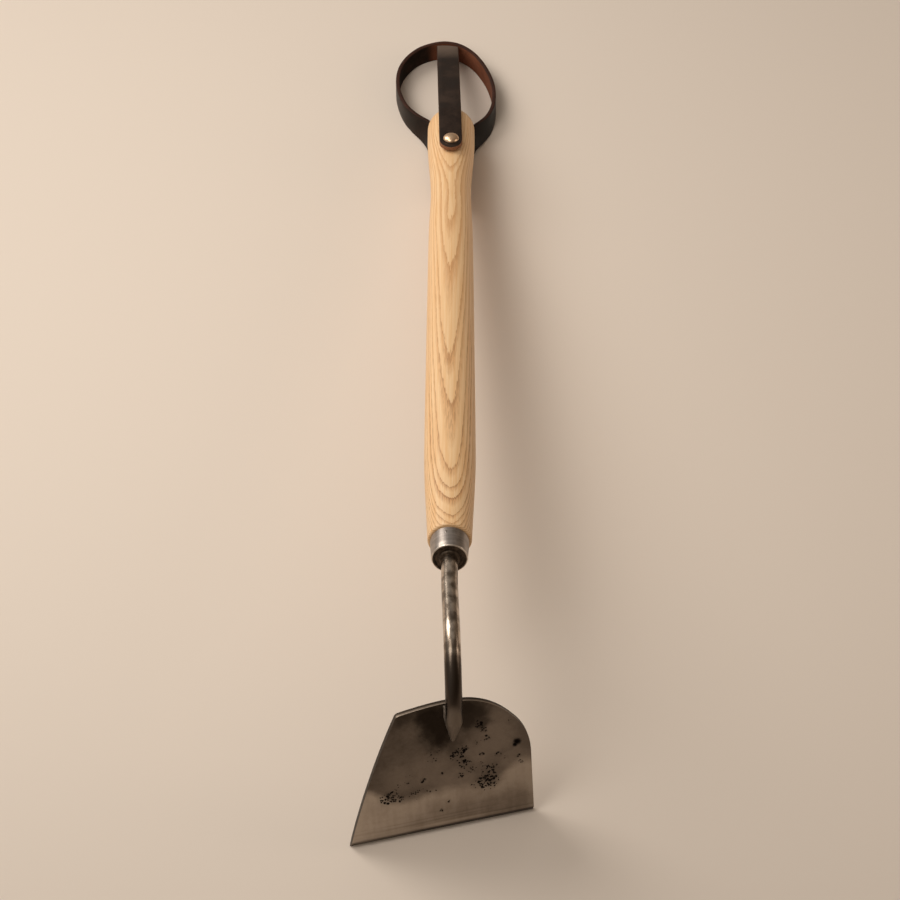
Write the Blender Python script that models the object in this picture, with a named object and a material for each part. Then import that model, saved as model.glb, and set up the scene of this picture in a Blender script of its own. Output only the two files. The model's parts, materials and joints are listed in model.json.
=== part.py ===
"""Short-handled forged hand hoe with a riveted leather hanging loop.

The hoe lies as it does on a bench: the cutting edge and the loop's lower edge touch the ground, z = 0.
The origin is on the cutting edge, straight under the handle's axis. +Y runs from the blade along the
handle to the loop, +X is to the right of someone who looks that way, +Z is up. Lengths are in metres.
"""

import math

import bmesh
import bpy
from mathutils import Matrix, Vector

MM = 0.001

# Fit between pieces that touch, and of a pin or rod in its hole
contact_gap = 0.3 * MM

# How the hoe lies
handle_pitch = math.radians(10.7)
blade_lean = math.radians(16.0)
blade_yaw = math.radians(13.9)
ferrule_reach = 122.5 * MM

# Blade: a plate drawn in its own plane, u along the cutting edge from the sharp tip, v up the plate
blade_edge_length = 118.5 * MM
blade_height = 100.6 * MM
blade_thickness = 3.8 * MM
blade_tip_to_axis = 63.8 * MM
blade_left_shoulder_u = 36.2 * MM
blade_left_shoulder_drop = 3.4 * MM
blade_left_shoulder_radius = 1.8 * MM
blade_left_side_bow = 2.1 * MM
blade_right_side_flare = 0.5 * MM
blade_right_round_width = 46.0 * MM
blade_right_round_height = 50.0 * MM
blade_crest_drop = 0.2 * MM
blade_crest_dip = 0.5 * MM
blade_crest_rise = 0.8 * MM
blade_left_crest_rise = 2.0 * MM
blade_bevel_height = 4.5 * MM
blade_edge_land = 0.8 * MM

# Neck: one round rod with a drawn tip on the blade and a tang in the handle
rod_radius = 5.25 * MM
neck_bend_radius = 40.0 * MM
neck_lap = 28.1 * MM
neck_kink_reach = 25.0 * MM
neck_set_over = 2.4 * MM
neck_set_back = 3.2 * MM
neck_tip_taper = 17.0 * MM
neck_tip_radius = 1.3 * MM
stop_spacing = 1.5 * MM
rod_step = 14.0 * MM
bend_steps = 14
tang_length = 95.0 * MM
tang_taper = 30.0 * MM
tang_end_radius = 3.4 * MM

# Welds
blade_weld_spread = 1.4 * MM
blade_weld_rise = 2.4 * MM
blade_weld_below_top = 2.5 * MM
blade_weld_run_out = 2.0 * MM
neck_bead_width = 1.7 * MM
neck_bead_length = 1.5 * MM

# Ferrule, its end disc and its pin
ferrule_length = 16.5 * MM
ferrule_front_radius = 11.5 * MM
ferrule_back_radius = 12.5 * MM
ferrule_wall = 1.8 * MM
ferrule_rim_bevel = 0.8 * MM
disc_recess = 0.4 * MM
disc_thickness = 3.0 * MM
pin_radius = 1.2 * MM
pin_filed = 0.2 * MM
pin_from_ferrule_back = 4.0 * MM
pin_roll = math.radians(12.0)
pin_dome = 0.4 * MM

# Handle, measured along its axis from the ferrule's front
handle_reach = 501.4 * MM
shoulder_radius = 14.1 * MM
shoulder_round = 1.6 * MM
swell_at = 102.0 * MM
swell_radius = 16.8 * MM
grip_at = 255.0 * MM
grip_radius = 16.3 * MM
knee_from_butt = 152.0 * MM
knee_radius = 15.75 * MM
waist_from_butt = 102.0 * MM
waist_radius = 14.65 * MM
flare_from_butt = 31.0 * MM
flare_radius = 17.5 * MM
butt_round = 17.0 * MM
bore_point = 2.0 * MM

# Leather
strap_width = 16.8 * MM
strap_thickness = 2.8 * MM
loop_ground_clearance = 0.8 * MM
leg_gap = 0.6 * MM
strap_end_margin = 11.4 * MM
strap_leave_bend = 60.0 * MM
strap_end_bend = 3.6 * MM
strap_tab_clearance = 2.4 * MM
strap_far_offset = -3.0 * MM
leg_end_margin = 9.6 * MM
loop_step = 5.0 * MM
strap_step = 9.0 * MM

# Rivets: butt rivet through the handle, loop rivet through strap end and loop
butt_rivet_from_butt = 57.9 * MM
butt_rivet_head_radius = 5.8 * MM
butt_rivet_head_rise = 3.4 * MM
butt_rivet_shank_radius = 1.9 * MM
butt_burr_radius = 4.8 * MM
butt_burr_thickness = 1.2 * MM
loop_rivet_height = 8.0 * MM
loop_rivet_head_radius = 3.6 * MM
loop_rivet_head_rise = 1.6 * MM
loop_rivet_shank_radius = 1.4 * MM
loop_burr_radius = 3.6 * MM
loop_burr_thickness = 1.0 * MM
peen_overhang = 1.0 * MM
peen_rise = 1.1 * MM

# The loop's centre line from the left leg round the far wall to the right leg:
# x, distance past the centre of the butt's dome, and roll of the strap (0 lies flat, 90 stands on edge)
loop_stations = [
    (-8.8 * MM, 1.0 * MM, 0.0),
    (-12.2 * MM, 11.0 * MM, 30.0),
    (-18.6 * MM, 18.5 * MM, 57.0),
    (-27.0 * MM, 26.5 * MM, 76.0),
    (-34.6 * MM, 37.5 * MM, 86.0),
    (-39.4 * MM, 52.0 * MM, 90.0),
    (-41.0 * MM, 66.0 * MM, 90.0),
    (-39.2 * MM, 79.5 * MM, 90.0),
    (-33.6 * MM, 91.5 * MM, 90.0),
    (-24.6 * MM, 101.3 * MM, 90.0),
    (-13.2 * MM, 106.9 * MM, 90.0),
    (-3.0 * MM, 108.2 * MM, 90.0),
    (7.4 * MM, 104.8 * MM, 90.0),
    (17.6 * MM, 95.4 * MM, 90.0),
    (26.0 * MM, 80.5 * MM, 90.0),
    (31.4 * MM, 63.5 * MM, 90.0),
    (32.8 * MM, 48.0 * MM, 89.0),
    (31.3 * MM, 35.0 * MM, 86.0),
    (27.4 * MM, 24.2 * MM, 78.0),
    (20.6 * MM, 15.6 * MM, 62.0),
    (13.2 * MM, 8.6 * MM, 36.0),
    (8.8 * MM, 1.0 * MM, 0.0),
]

# Facets
turned_facets = 32
rod_facets = 16
small_facets = 20
crown_steps = 8
corner_steps = 5
ease_steps = 5

# Places that follow from the sizes
handle_away = Vector((0.0, math.cos(handle_pitch), -math.sin(handle_pitch)))
handle_up = Vector((0.0, math.sin(handle_pitch), math.cos(handle_pitch)))
dome_at = handle_reach - flare_radius
leather_stack = leg_gap + 2 * strap_thickness + contact_gap
dome_height = (flare_radius + leather_stack) / math.cos(handle_pitch) + loop_ground_clearance
ferrule_height = dome_height + dome_at * math.sin(handle_pitch)
ferrule_front = Vector((0.0, ferrule_reach, ferrule_height))
dome_centre = ferrule_front + handle_away * dome_at
butt_rivet_at = handle_reach - butt_rivet_from_butt
rivet_centre = ferrule_front + handle_away * butt_rivet_at
strap_level = flare_radius + contact_gap + strap_thickness / 2

blade_frame = Matrix.Rotation(blade_yaw, 4, "Z") @ Matrix.Rotation(math.pi / 2 - blade_lean, 4, "X")
blade_along = blade_frame.col[0].to_3d()
blade_up = blade_frame.col[1].to_3d()
blade_front = blade_frame.col[2].to_3d()
neck_tip_height = blade_height - neck_lap
blade_back_level = -blade_edge_land / 2
blade_front_level = blade_back_level + blade_thickness


def clear_scene():
    for thing in list(bpy.data.objects):
        bpy.data.objects.remove(thing, do_unlink=True)


def material(name, colour, roughness, metallic):
    """A Principled finish, made once and shared by name."""
    finish = bpy.data.materials.get(name)
    if finish is None:
        finish = bpy.data.materials.new(name)
        finish.use_nodes = True
        shader = finish.node_tree.nodes["Principled BSDF"]
        shader.inputs["Base Color"].default_value = (*colour, 1.0)
        shader.inputs["Roughness"].default_value = roughness
        shader.inputs["Metallic"].default_value = metallic
        finish.diffuse_color = (*colour, 1.0)
    return finish


def forged_steel():
    return material("forged_steel", (0.11, 0.10, 0.09), 0.45, 1.0)


def bright_steel():
    return material("bright_steel", (0.33, 0.32, 0.31), 0.32, 1.0)


def oiled_ash():
    return material("oiled_ash", (0.62, 0.40, 0.21), 0.5, 0.0)


def black_leather():
    return material("black_leather", (0.03, 0.025, 0.022), 0.55, 0.0)


def warm_brass():
    return material("warm_brass", (0.75, 0.52, 0.32), 0.3, 1.0)


def add_object(name, mesh_data, finish, smooth_angle=35.0):
    """Turn a bmesh into a named object with its faces pointing out."""
    bmesh.ops.recalc_face_normals(mesh_data, faces=mesh_data.faces)
    mesh = bpy.data.meshes.new(name)
    mesh_data.to_mesh(mesh)
    mesh_data.free()
    mesh.materials.append(finish)
    mesh.shade_smooth()
    mesh.set_sharp_from_angle(angle=math.radians(smooth_angle))
    thing = bpy.data.objects.new(name, mesh)
    bpy.context.scene.collection.objects.link(thing)
    return thing


def add_empty(name, location, rotation):
    empty = bpy.data.objects.new(name, None)
    empty.location = location
    empty.rotation_euler = rotation
    bpy.context.scene.collection.objects.link(empty)
    bpy.context.view_layer.update()
    return empty


def carry(parent, child):
    """Parent a piece that is already modelled in world coordinates."""
    child.parent = parent
    child.matrix_parent_inverse = parent.matrix_world.inverted()


def loft(rings):
    """A closed skin through rings of points, each ring a closed loop of equal count."""
    skin = bmesh.new()
    loops = [[skin.verts.new(point) for point in ring] for ring in rings]
    count = len(loops[0])
    for near, far in zip(loops, loops[1:]):
        for i in range(count):
            j = (i + 1) % count
            skin.faces.new((near[i], near[j], far[j], far[i]))
    skin.faces.new(reversed(loops[0]))
    skin.faces.new(loops[-1])
    return skin


def turn(profile, facets):
    """Spin (radius, distance) points about local Z: a closed outline, or one between two axis points."""
    solid = bmesh.new()
    points = [solid.verts.new((radius, 0.0, along)) for radius, along in profile]
    edges = [solid.edges.new(pair) for pair in zip(points, points[1:])]
    if min(profile[0][0], profile[-1][0]) > 0:
        edges.append(solid.edges.new((points[-1], points[0])))
    bmesh.ops.spin(solid, geom=points + edges, cent=(0, 0, 0), axis=(0, 0, 1), dvec=(0, 0, 0),
                   angle=2 * math.pi, steps=facets, use_merge=True)
    bmesh.ops.remove_doubles(solid, verts=solid.verts, dist=0.00001)
    return solid


def rod_cutter(name, radius, length, frame):
    """A hole to cut, centred on its frame and running along the frame's Z."""
    solid = bmesh.new()
    bmesh.ops.create_cone(solid, cap_ends=True, segments=rod_facets, radius1=radius, radius2=radius,
                          depth=length)
    cutter = add_object(name, solid, bright_steel())
    cutter.matrix_world = frame
    cutter.hide_render = True
    cutter.display_type = "WIRE"
    return cutter


def cut(piece, cutter):
    """Subtract a cutter with the exact solver."""
    change = piece.modifiers.new("cut_" + cutter.name, "BOOLEAN")
    change.operation = "DIFFERENCE"
    change.solver = "EXACT"
    change.object = cutter


def bezier(start, first, second, end, steps):
    """Points along a cubic curve, its start left out."""
    points = []
    for k in range(1, steps + 1):
        t = k / steps
        r = 1 - t
        points.append(r**3 * start + 3 * r * r * t * first + 3 * r * t * t * second + t**3 * end)
    return points


def rounded_path(corners, bends, steps):
    """A polyline whose inner corners are arcs of the given radii."""
    path = [corners[0]]
    for before, corner, after, bend in zip(corners, corners[1:], corners[2:], bends):
        back = (before - corner).normalized()
        ahead = (after - corner).normalized()
        half = back.angle(ahead) / 2
        centre = corner + (back + ahead).normalized() * (bend / math.sin(half))
        first = corner + back * (bend / math.tan(half)) - centre
        last = corner + ahead * (bend / math.tan(half)) - centre
        sweep = first.angle(last)
        for k in range(steps + 1):
            share = k / steps
            spoke = first * math.sin((1 - share) * sweep) + last * math.sin(share * sweep)
            path.append(centre + spoke / math.sin(sweep))
    path.append(corners[-1])
    return path


def densify(path, longest):
    """Split the runs of a path so that no step is longer than the given length."""
    points = [path[0]]
    for near, far in zip(path, path[1:]):
        parts = max(1, math.ceil((far - near).length / longest))
        for k in range(1, parts + 1):
            points.append(near.lerp(far, k / parts))
    return points


def distances(path):
    """Distance of each point from the start, along the path."""
    reached = [0.0]
    for near, far in zip(path, path[1:]):
        reached.append(reached[-1] + (far - near).length)
    return reached


def tangents(path):
    """Unit direction at each point of a path."""
    found = []
    for k in range(len(path)):
        near = path[max(k - 1, 0)]
        far = path[min(k + 1, len(path) - 1)]
        found.append((far - near).normalized())
    return found


def smooth_share(share):
    share = min(max(share, 0.0), 1.0)
    return share * share * (3 - 2 * share)


def rounded_half_width(from_end):
    """Half width of a strap near an end that is cut to a half round."""
    half = strap_width / 2
    if from_end >= half:
        return half
    return math.sqrt(max(half**2 - (half - from_end)**2, (0.14 * half)**2))


# Blade

def blade_outline():
    """Outline in the plate's plane: straight edge and side, one big round shoulder and one small one."""
    top = Vector((blade_edge_length - blade_right_round_width, blade_height - blade_crest_drop))
    side = Vector((blade_edge_length + blade_right_side_flare, blade_height - blade_right_round_height))
    round_width = side.x - top.x
    round_height = top.y - side.y
    middle = Vector((side.x - 0.262 * round_width, side.y + 0.65 * round_height))
    slope = Vector((-0.64, 0.77))
    shoulder = Vector((blade_left_shoulder_u, blade_height - blade_left_shoulder_drop))
    outline = [Vector((0.0, 0.0)), Vector((blade_edge_length, 0.0)), side]
    outline += bezier(side, side + Vector((0, 0.33 * round_height)), middle - slope * 0.22 * round_width,
                      middle, crown_steps)
    outline += bezier(middle, middle + slope * 0.31 * round_width,
                      top + Vector((0.30 * round_width, -blade_crest_dip)), top, crown_steps)
    crest = Vector((top.x - shoulder.x, 0))
    after_round = shoulder + Vector((blade_left_shoulder_radius, 0.22 * blade_left_shoulder_radius))
    outline += bezier(top, top - crest * 0.24 + Vector((0, blade_crest_rise)),
                      after_round + crest * 0.30 + Vector((0, blade_left_crest_rise)), after_round,
                      crown_steps)
    down_side = (Vector((0.0, 0.0)) - shoulder).normalized()
    below = shoulder + down_side * blade_left_shoulder_radius
    outline += bezier(after_round, after_round.lerp(shoulder, 0.7), below.lerp(shoulder, 0.7), below,
                      corner_steps)
    outward = Vector((down_side.y, -down_side.x)) * (blade_left_side_bow * 4 / 3)
    along_side = bezier(below, below * 0.7 + outward, below * 0.3 + outward, Vector((0.0, 0.0)), crown_steps)
    outline += along_side[:-1]
    return outline


def plane_cut(solid, place, normal):
    """Cut away what lies beyond a plane and close the cut."""
    everything = solid.verts[:] + solid.edges[:] + solid.faces[:]
    bmesh.ops.bisect_plane(solid, geom=everything, dist=0.0000001, plane_co=place, plane_no=normal,
                           clear_outer=True)
    rim = [edge for edge in solid.edges if edge.is_boundary]
    bmesh.ops.contextual_create(solid, geom=rim)


def make_blade():
    """Flat plate, bevelled in front along the cutting edge, its land cut level with the ground."""
    sunk = blade_edge_land
    solid = bmesh.new()
    base = []
    for point in blade_outline():
        down = sunk if point.y < 1e-6 else 0.0
        base.append(solid.verts.new((point.x - blade_tip_to_axis, point.y - down, blade_back_level)))
    plate = solid.faces.new(base)
    grown = bmesh.ops.extrude_face_region(solid, geom=[plate])
    moved = [item for item in grown["geom"] if isinstance(item, bmesh.types.BMVert)]
    bmesh.ops.translate(solid, verts=moved, vec=(0, 0, blade_thickness))
    bmesh.ops.recalc_face_normals(solid, faces=solid.faces)
    land_front = blade_back_level + blade_edge_land
    bevel_normal = Vector((0, -(blade_front_level - land_front), blade_bevel_height)).normalized()
    plane_cut(solid, Vector((0, blade_bevel_height, blade_front_level)), bevel_normal)
    down = blade_frame.to_3x3().transposed() @ Vector((0, 0, -1))
    plane_cut(solid, Vector((0, 0, 0)), down)
    blade = add_object("blade", solid, forged_steel())
    blade.rotation_euler = (math.pi / 2 - blade_lean, 0.0, blade_yaw)


# Neck

def neck_corner():
    """Where the rod turns down along the blade's front face, set a little over from the handle's axis."""
    level = blade_front_level + contact_gap + rod_radius
    ahead = -handle_away
    run = (level - ferrule_front.dot(blade_front)) / ahead.dot(blade_front)
    return ferrule_front + ahead * run + blade_along * neck_set_over


def neck_path():
    """Points from the tang's end to the drawn tip."""
    corner = neck_corner()
    down = corner.dot(blade_up) - neck_tip_height
    tip = corner - blade_up * down - blade_along * neck_set_back
    start = ferrule_front + handle_away * tang_length
    kink = ferrule_front - handle_away * neck_kink_reach
    return [start] + rounded_path([kink, corner, tip], [neck_bend_radius], bend_steps)


def neck_rings(fuller):
    """Rings along the rod: its tang tapers in the handle and its tip is drawn to a point."""
    path = densify(neck_path(), rod_step)
    reached = distances(path)
    length = reached[-1]
    stops = [tang_taper] + [length - neck_tip_taper * share for share in (1.0, 0.75, 0.5, 0.25)]
    path = insert_stops(path, reached, stops)
    reached = distances(path)
    headings = tangents(path)
    side = headings[0].cross(headings[-1]).normalized()
    rings = []
    for point, heading, run in zip(path, headings, reached):
        radius = rod_radius
        centre = point
        if run < tang_taper:
            radius = tang_end_radius + (rod_radius - tang_end_radius) * run / tang_taper
        left = length - run
        if left < neck_tip_taper:
            radius = neck_tip_radius + (rod_radius - neck_tip_radius) * left / neck_tip_taper
            centre = point - blade_front * (rod_radius - radius)
        radius += fuller
        other = heading.cross(side).normalized()
        ring = []
        for k in range(rod_facets):
            angle = 2 * math.pi * k / rod_facets
            ring.append(centre + side * radius * math.cos(angle) + other * radius * math.sin(angle))
        rings.append(ring)
    return rings


def make_neck():
    """Round rod, bent once between the tang in the handle and the drawn tip on the blade."""
    return add_object("neck", loft(neck_rings(0.0)), forged_steel(), 60.0)


def insert_stops(path, reached, stops):
    """Add points to a path at the given distances along it, in place of its own points close by."""
    marked = []
    for k, (run, point) in enumerate(zip(reached, path)):
        if k in (0, len(path) - 1) or min(abs(run - stop) for stop in stops) > stop_spacing:
            marked.append((run, point))
    for stop in stops:
        for k in range(len(reached) - 1):
            if reached[k] <= stop < reached[k + 1]:
                share = (stop - reached[k]) / (reached[k + 1] - reached[k])
                marked.append((stop, path[k].lerp(path[k + 1], share)))
    marked.sort(key=lambda item: item[0])
    return [point for run, point in marked]


# Welds

def make_blade_weld():
    """Fillet on both sides of the rod's drawn tip and round its end, ground to a low slope."""
    corner = blade_frame.to_3x3().transposed() @ neck_corner()
    slant = neck_set_back / (corner.y - neck_tip_height)
    top = blade_height - blade_weld_below_top
    taper_top = neck_tip_height + neck_tip_taper
    bottom = neck_tip_height - blade_weld_spread
    level = blade_front_level + contact_gap
    rows = [
        (top, rod_radius + blade_weld_spread, 0.8),
        (top - blade_weld_run_out, rod_radius + blade_weld_spread, 1.0),
        (taper_top, rod_radius + blade_weld_spread, 1.0),
        (neck_tip_height + neck_tip_taper * 0.4, rod_radius * 0.55 + blade_weld_spread, 0.8),
        (neck_tip_height, neck_tip_radius + blade_weld_spread * 0.75, 0.6),
        (bottom, neck_tip_radius, 0.3),
    ]
    rings = []
    for up, half, rise in rows:
        crown = blade_weld_rise * rise
        shape = [(-1.0, 0.0), (-0.94, 0.25), (-0.6, 0.8), (-0.3, 1.0), (0.3, 1.0), (0.6, 0.8), (0.94, 0.25),
                 (1.0, 0.0)]
        middle = corner.x - slant * (corner.y - up)
        rings.append([blade_frame @ Vector((middle + half * x, up, level + crown * z)) for x, z in shape])
    weld = add_object("blade_weld", loft(rings), bright_steel(), 50.0)
    return weld


def make_weld_clearance():
    """The rod, fuller and longer by the gap: what the fillet is cut back from."""
    rings = neck_rings(contact_gap)
    rings.append([point - blade_up * contact_gap for point in rings[-1]])
    cutter = add_object("weld_clearance", loft(rings), bright_steel())
    cutter.hide_render = True
    cutter.display_type = "WIRE"
    return cutter


def make_neck_weld(handle_axis):
    """Small bead round the rod, on the ferrule's end disc."""
    base = disc_recess - contact_gap
    inner = rod_radius + contact_gap
    profile = [
        (inner, base),
        (inner + neck_bead_width, base),
        (inner + neck_bead_width * 0.75, base - neck_bead_length * 0.45),
        (inner + neck_bead_width * 0.35, base - neck_bead_length * 0.85),
        (inner, base - neck_bead_length),
    ]
    bead = add_object("neck_weld", turn(profile, small_facets), bright_steel(), 60.0)
    bead.parent = handle_axis


# Ferrule

def ferrule_outside(along):
    return ferrule_front_radius + (ferrule_back_radius - ferrule_front_radius) * along / ferrule_length


def ferrule_inside(along):
    return ferrule_outside(along) - ferrule_wall


def make_ferrule(handle_axis):
    """Tapered tube with a bevelled front rim."""
    profile = [
        (ferrule_inside(0), 0.0),
        (ferrule_outside(0) - ferrule_rim_bevel, 0.0),
        (ferrule_outside(ferrule_rim_bevel), ferrule_rim_bevel),
        (ferrule_outside(ferrule_length), ferrule_length),
        (ferrule_inside(ferrule_length), ferrule_length),
    ]
    ferrule = add_object("ferrule", turn(profile, turned_facets), bright_steel())
    ferrule.parent = handle_axis
    return ferrule


def make_ferrule_disc(handle_axis):
    """Flat disc that closes the ferrule round the rod."""
    back = disc_recess + disc_thickness
    hole = rod_radius + contact_gap
    profile = [
        (hole, disc_recess),
        (ferrule_inside(disc_recess) - contact_gap, disc_recess),
        (ferrule_inside(back) - contact_gap, back),
        (hole, back),
    ]
    disc = add_object("ferrule_disc", turn(profile, turned_facets), forged_steel())
    disc.parent = handle_axis


def pin_frame():
    """Centre of the ferrule pin, its Z across the handle and rolled off the vertical."""
    place = ferrule_front + handle_away * (ferrule_length - pin_from_ferrule_back)
    roll = Matrix.Rotation(-pin_roll, 4, handle_away)
    pitch = Matrix.Rotation(-handle_pitch, 4, "X")
    return Matrix.Translation(place) @ roll @ pitch


def make_ferrule_pin():
    """Pin through ferrule, tenon and tang, its ends peened to a low dome."""
    reach = ferrule_outside(ferrule_length - pin_from_ferrule_back) - pin_filed
    profile = [
        (0.0, -reach - pin_dome),
        (pin_radius * 0.6, -reach - pin_dome * 0.7),
        (pin_radius, -reach),
        (pin_radius, reach),
        (pin_radius * 0.6, reach + pin_dome * 0.7),
        (0.0, reach + pin_dome),
    ]
    pin = add_object("ferrule_pin", turn(profile, 12), bright_steel(), 50.0)
    pin.matrix_world = pin_frame()


# Handle

def eased(stations, steps):
    """Points through (distance, radius) stations, level at every crest and hollow."""
    slopes = [0.0]
    for (a, ra), (b, rb), (c, rc) in zip(stations, stations[1:], stations[2:]):
        before = (rb - ra) / (b - a)
        after = (rc - rb) / (c - b)
        slopes.append(0.0 if before * after <= 0 else 2 * before * after / (before + after))
    slopes.append(0.0)
    slopes[0] = (stations[1][1] - stations[0][1]) / (stations[1][0] - stations[0][0])
    points = []
    for k in range(len(stations) - 1):
        (a, ra), (b, rb) = stations[k], stations[k + 1]
        span = b - a
        for step in range(steps):
            t = step / steps
            rest = 1 - t
            radius = (ra * (1 + 2 * t) * rest**2 + rb * (3 - 2 * t) * t**2
                      + span * (slopes[k] * t * rest**2 - slopes[k + 1] * rest * t**2))
            points.append((radius, a + span * t))
    points.append((stations[-1][1], stations[-1][0]))
    return points


def make_handle(handle_axis):
    """Turned handle: tapered tenon, bore for the tang, swell, waist, flare and domed butt."""
    tenon_start = disc_recess + disc_thickness + contact_gap
    shoulder = ferrule_length + contact_gap
    bore = rod_radius + contact_gap
    bore_end = tang_length + contact_gap
    profile = [
        (0.0, bore_end + bore_point),
        (bore, bore_end),
        (bore, tenon_start),
        (ferrule_inside(tenon_start) - contact_gap, tenon_start),
        (ferrule_inside(ferrule_length) - contact_gap, ferrule_length),
        (ferrule_inside(ferrule_length) - contact_gap, shoulder),
        (shoulder_radius - shoulder_round, shoulder),
        (shoulder_radius - shoulder_round * 0.3, shoulder + shoulder_round * 0.3),
    ]
    body = [
        (shoulder + shoulder_round, shoulder_radius),
        (swell_at, swell_radius),
        (grip_at, grip_radius),
        (handle_reach - knee_from_butt, knee_radius),
        (handle_reach - waist_from_butt, waist_radius),
        (handle_reach - flare_from_butt, flare_radius),
    ]
    profile += eased(body, ease_steps)
    dome_start = handle_reach - butt_round
    steps = 7
    for k in range(steps):
        angle = math.pi / 2 * k / steps
        profile.append((flare_radius * math.cos(angle), dome_start + butt_round * math.sin(angle)))
    profile.append((0.0, handle_reach))
    handle = add_object("handle", turn(profile, turned_facets), oiled_ash(), 40.0)
    handle.parent = handle_axis
    return handle


# Leather

def leg_height(past_dome, layers_down):
    """Height of a leg's middle where it lies flat under the handle."""
    level = flare_radius + leg_gap + strap_thickness / 2 + layers_down * (strap_thickness + contact_gap)
    return dome_height - level / math.cos(handle_pitch) - past_dome * math.tan(handle_pitch)


def standing_height(roll):
    """Height of a strap's middle when its lowest corner is on the ground."""
    return strap_width / 2 * abs(math.sin(roll)) + strap_thickness / 2 * math.cos(roll)


def through_stations(stations, longest):
    """Smooth interpolation of rows of numbers, the first two being x and y."""
    rows = [stations[0]] + stations + [stations[-1]]
    found = []
    for a, b, c, d in zip(rows, rows[1:], rows[2:], rows[3:]):
        span = math.hypot(c[0] - b[0], c[1] - b[1])
        steps = max(1, math.ceil(span / longest))
        for k in range(steps):
            t = k / steps
            row = []
            for p, q, r, s in zip(a, b, c, d):
                row.append(0.5 * (2 * q + (r - p) * t + (2 * p - 5 * q + 4 * r - s) * t**2
                                  + (3 * q - p - 3 * r + s) * t**3))
            found.append(row)
    found.append(list(stations[-1]))
    return found


def loop_rows():
    """x, y, z and roll of the loop's middle line, from one riveted end to the other."""
    rivet_below = rivet_centre - handle_up * (flare_radius + leather_stack / 2)
    rivet_past_dome = rivet_below.y - dome_centre.y
    rows = []
    for x, past, roll in loop_stations:
        rows.append([x, past, math.radians(roll), 0.0])
    for end, layer in ((0, 0), (-1, 1)):
        x, past, roll, lift = rows[end]
        rows[end][3] = leg_height(past, layer) - standing_height(roll)
    first = leg_rows(rows[0], rivet_past_dome, 0)
    last = leg_rows(rows[-1], rivet_past_dome, 1)
    rows = first + rows + last[::-1]
    found = []
    for x, past, roll, lift in through_stations(rows, loop_step):
        height = standing_height(roll) + max(lift, 0.0)
        found.append((Vector((x, dome_centre.y + past, height)), roll))
    return found


def leg_rows(joined, rivet_past_dome, layer):
    """Rows of a leg, level with the handle's underside, from its end past the rivet to its free stretch."""
    x, past, roll, lift = joined
    run = math.hypot(x, past - rivet_past_dome)
    flat_roll = -math.atan(math.tan(handle_pitch) * abs(x) / run)
    rows = []
    for share in (-leg_end_margin / run, 0.0, 0.35, 0.75):
        leg_past = rivet_past_dome + (past - rivet_past_dome) * share
        leg_lift = leg_height(leg_past, layer) - standing_height(flat_roll)
        rows.append([x * share, leg_past, flat_roll, leg_lift])
    return rows


def wall_inside(at_x):
    """y of the loop's inner face at its far wall, and the wall's inward direction there."""
    middle = [point for point, roll in loop_rows()]
    inner = []
    for point, heading in zip(middle, tangents(middle)):
        inward = Vector((heading.y, -heading.x, 0.0)).normalized()
        inner.append(point + inward * strap_thickness / 2)
    furthest = max(point.y for point in middle)
    for near, far in zip(inner, inner[1:]):
        if near.x <= at_x <= far.x and near.y > furthest - 1.5 * strap_width:
            heading = (far - near).normalized()
            share = (at_x - near.x) / (far.x - near.x)
            return near.lerp(far, share).y, Vector((heading.y, -heading.x, 0.0))
    raise ValueError("the strap's end lies beside the loop's far wall")


def make_hanging_loop():
    """One strap: flat where it is riveted under the butt, rolled up on its edge all round the loop."""
    rows = loop_rows()
    middle = [point for point, roll in rows]
    reached = distances(middle)
    fine = []
    for k, (point, roll) in enumerate(rows):
        from_end = min(reached[k], reached[-1] - reached[k])
        fine.append((point, roll, from_end))
    fine = round_off(fine, middle)
    headings = tangents([point for point, roll, from_end in fine])
    rings = []
    for (point, roll, from_end), heading in zip(fine, headings):
        flat = Vector((heading.x, heading.y, 0.0)).normalized()
        inward = Vector((flat.y, -flat.x, 0.0))
        across = inward * math.cos(roll) + Vector((0, 0, 1)) * math.sin(roll)
        across = (across - heading * across.dot(heading)).normalized()
        grain = across.cross(heading)
        half = across * rounded_half_width(from_end)
        thick = grain * strap_thickness / 2
        low, high = point - thick, point + thick
        rings.append([low - half, low + half, high + half, high - half])
    return add_object("hanging_loop", loft(rings), black_leather(), 30.0)


def round_off(rows, middle):
    """Add rows near both ends, so that the half round is cut smoothly."""
    half = strap_width / 2
    first = (middle[1] - middle[0]).normalized()
    last = (middle[-2] - middle[-1]).normalized()
    shares = (0.0, 0.1, 0.3, 0.6)
    head = [(middle[0] + first * half * share, rows[0][1], half * share) for share in shares]
    tail = [(middle[-1] + last * half * share, rows[-1][1], half * share) for share in reversed(shares)]
    inner = [row for row in rows if row[2] > half * 0.9]
    return head + inner + tail


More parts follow.
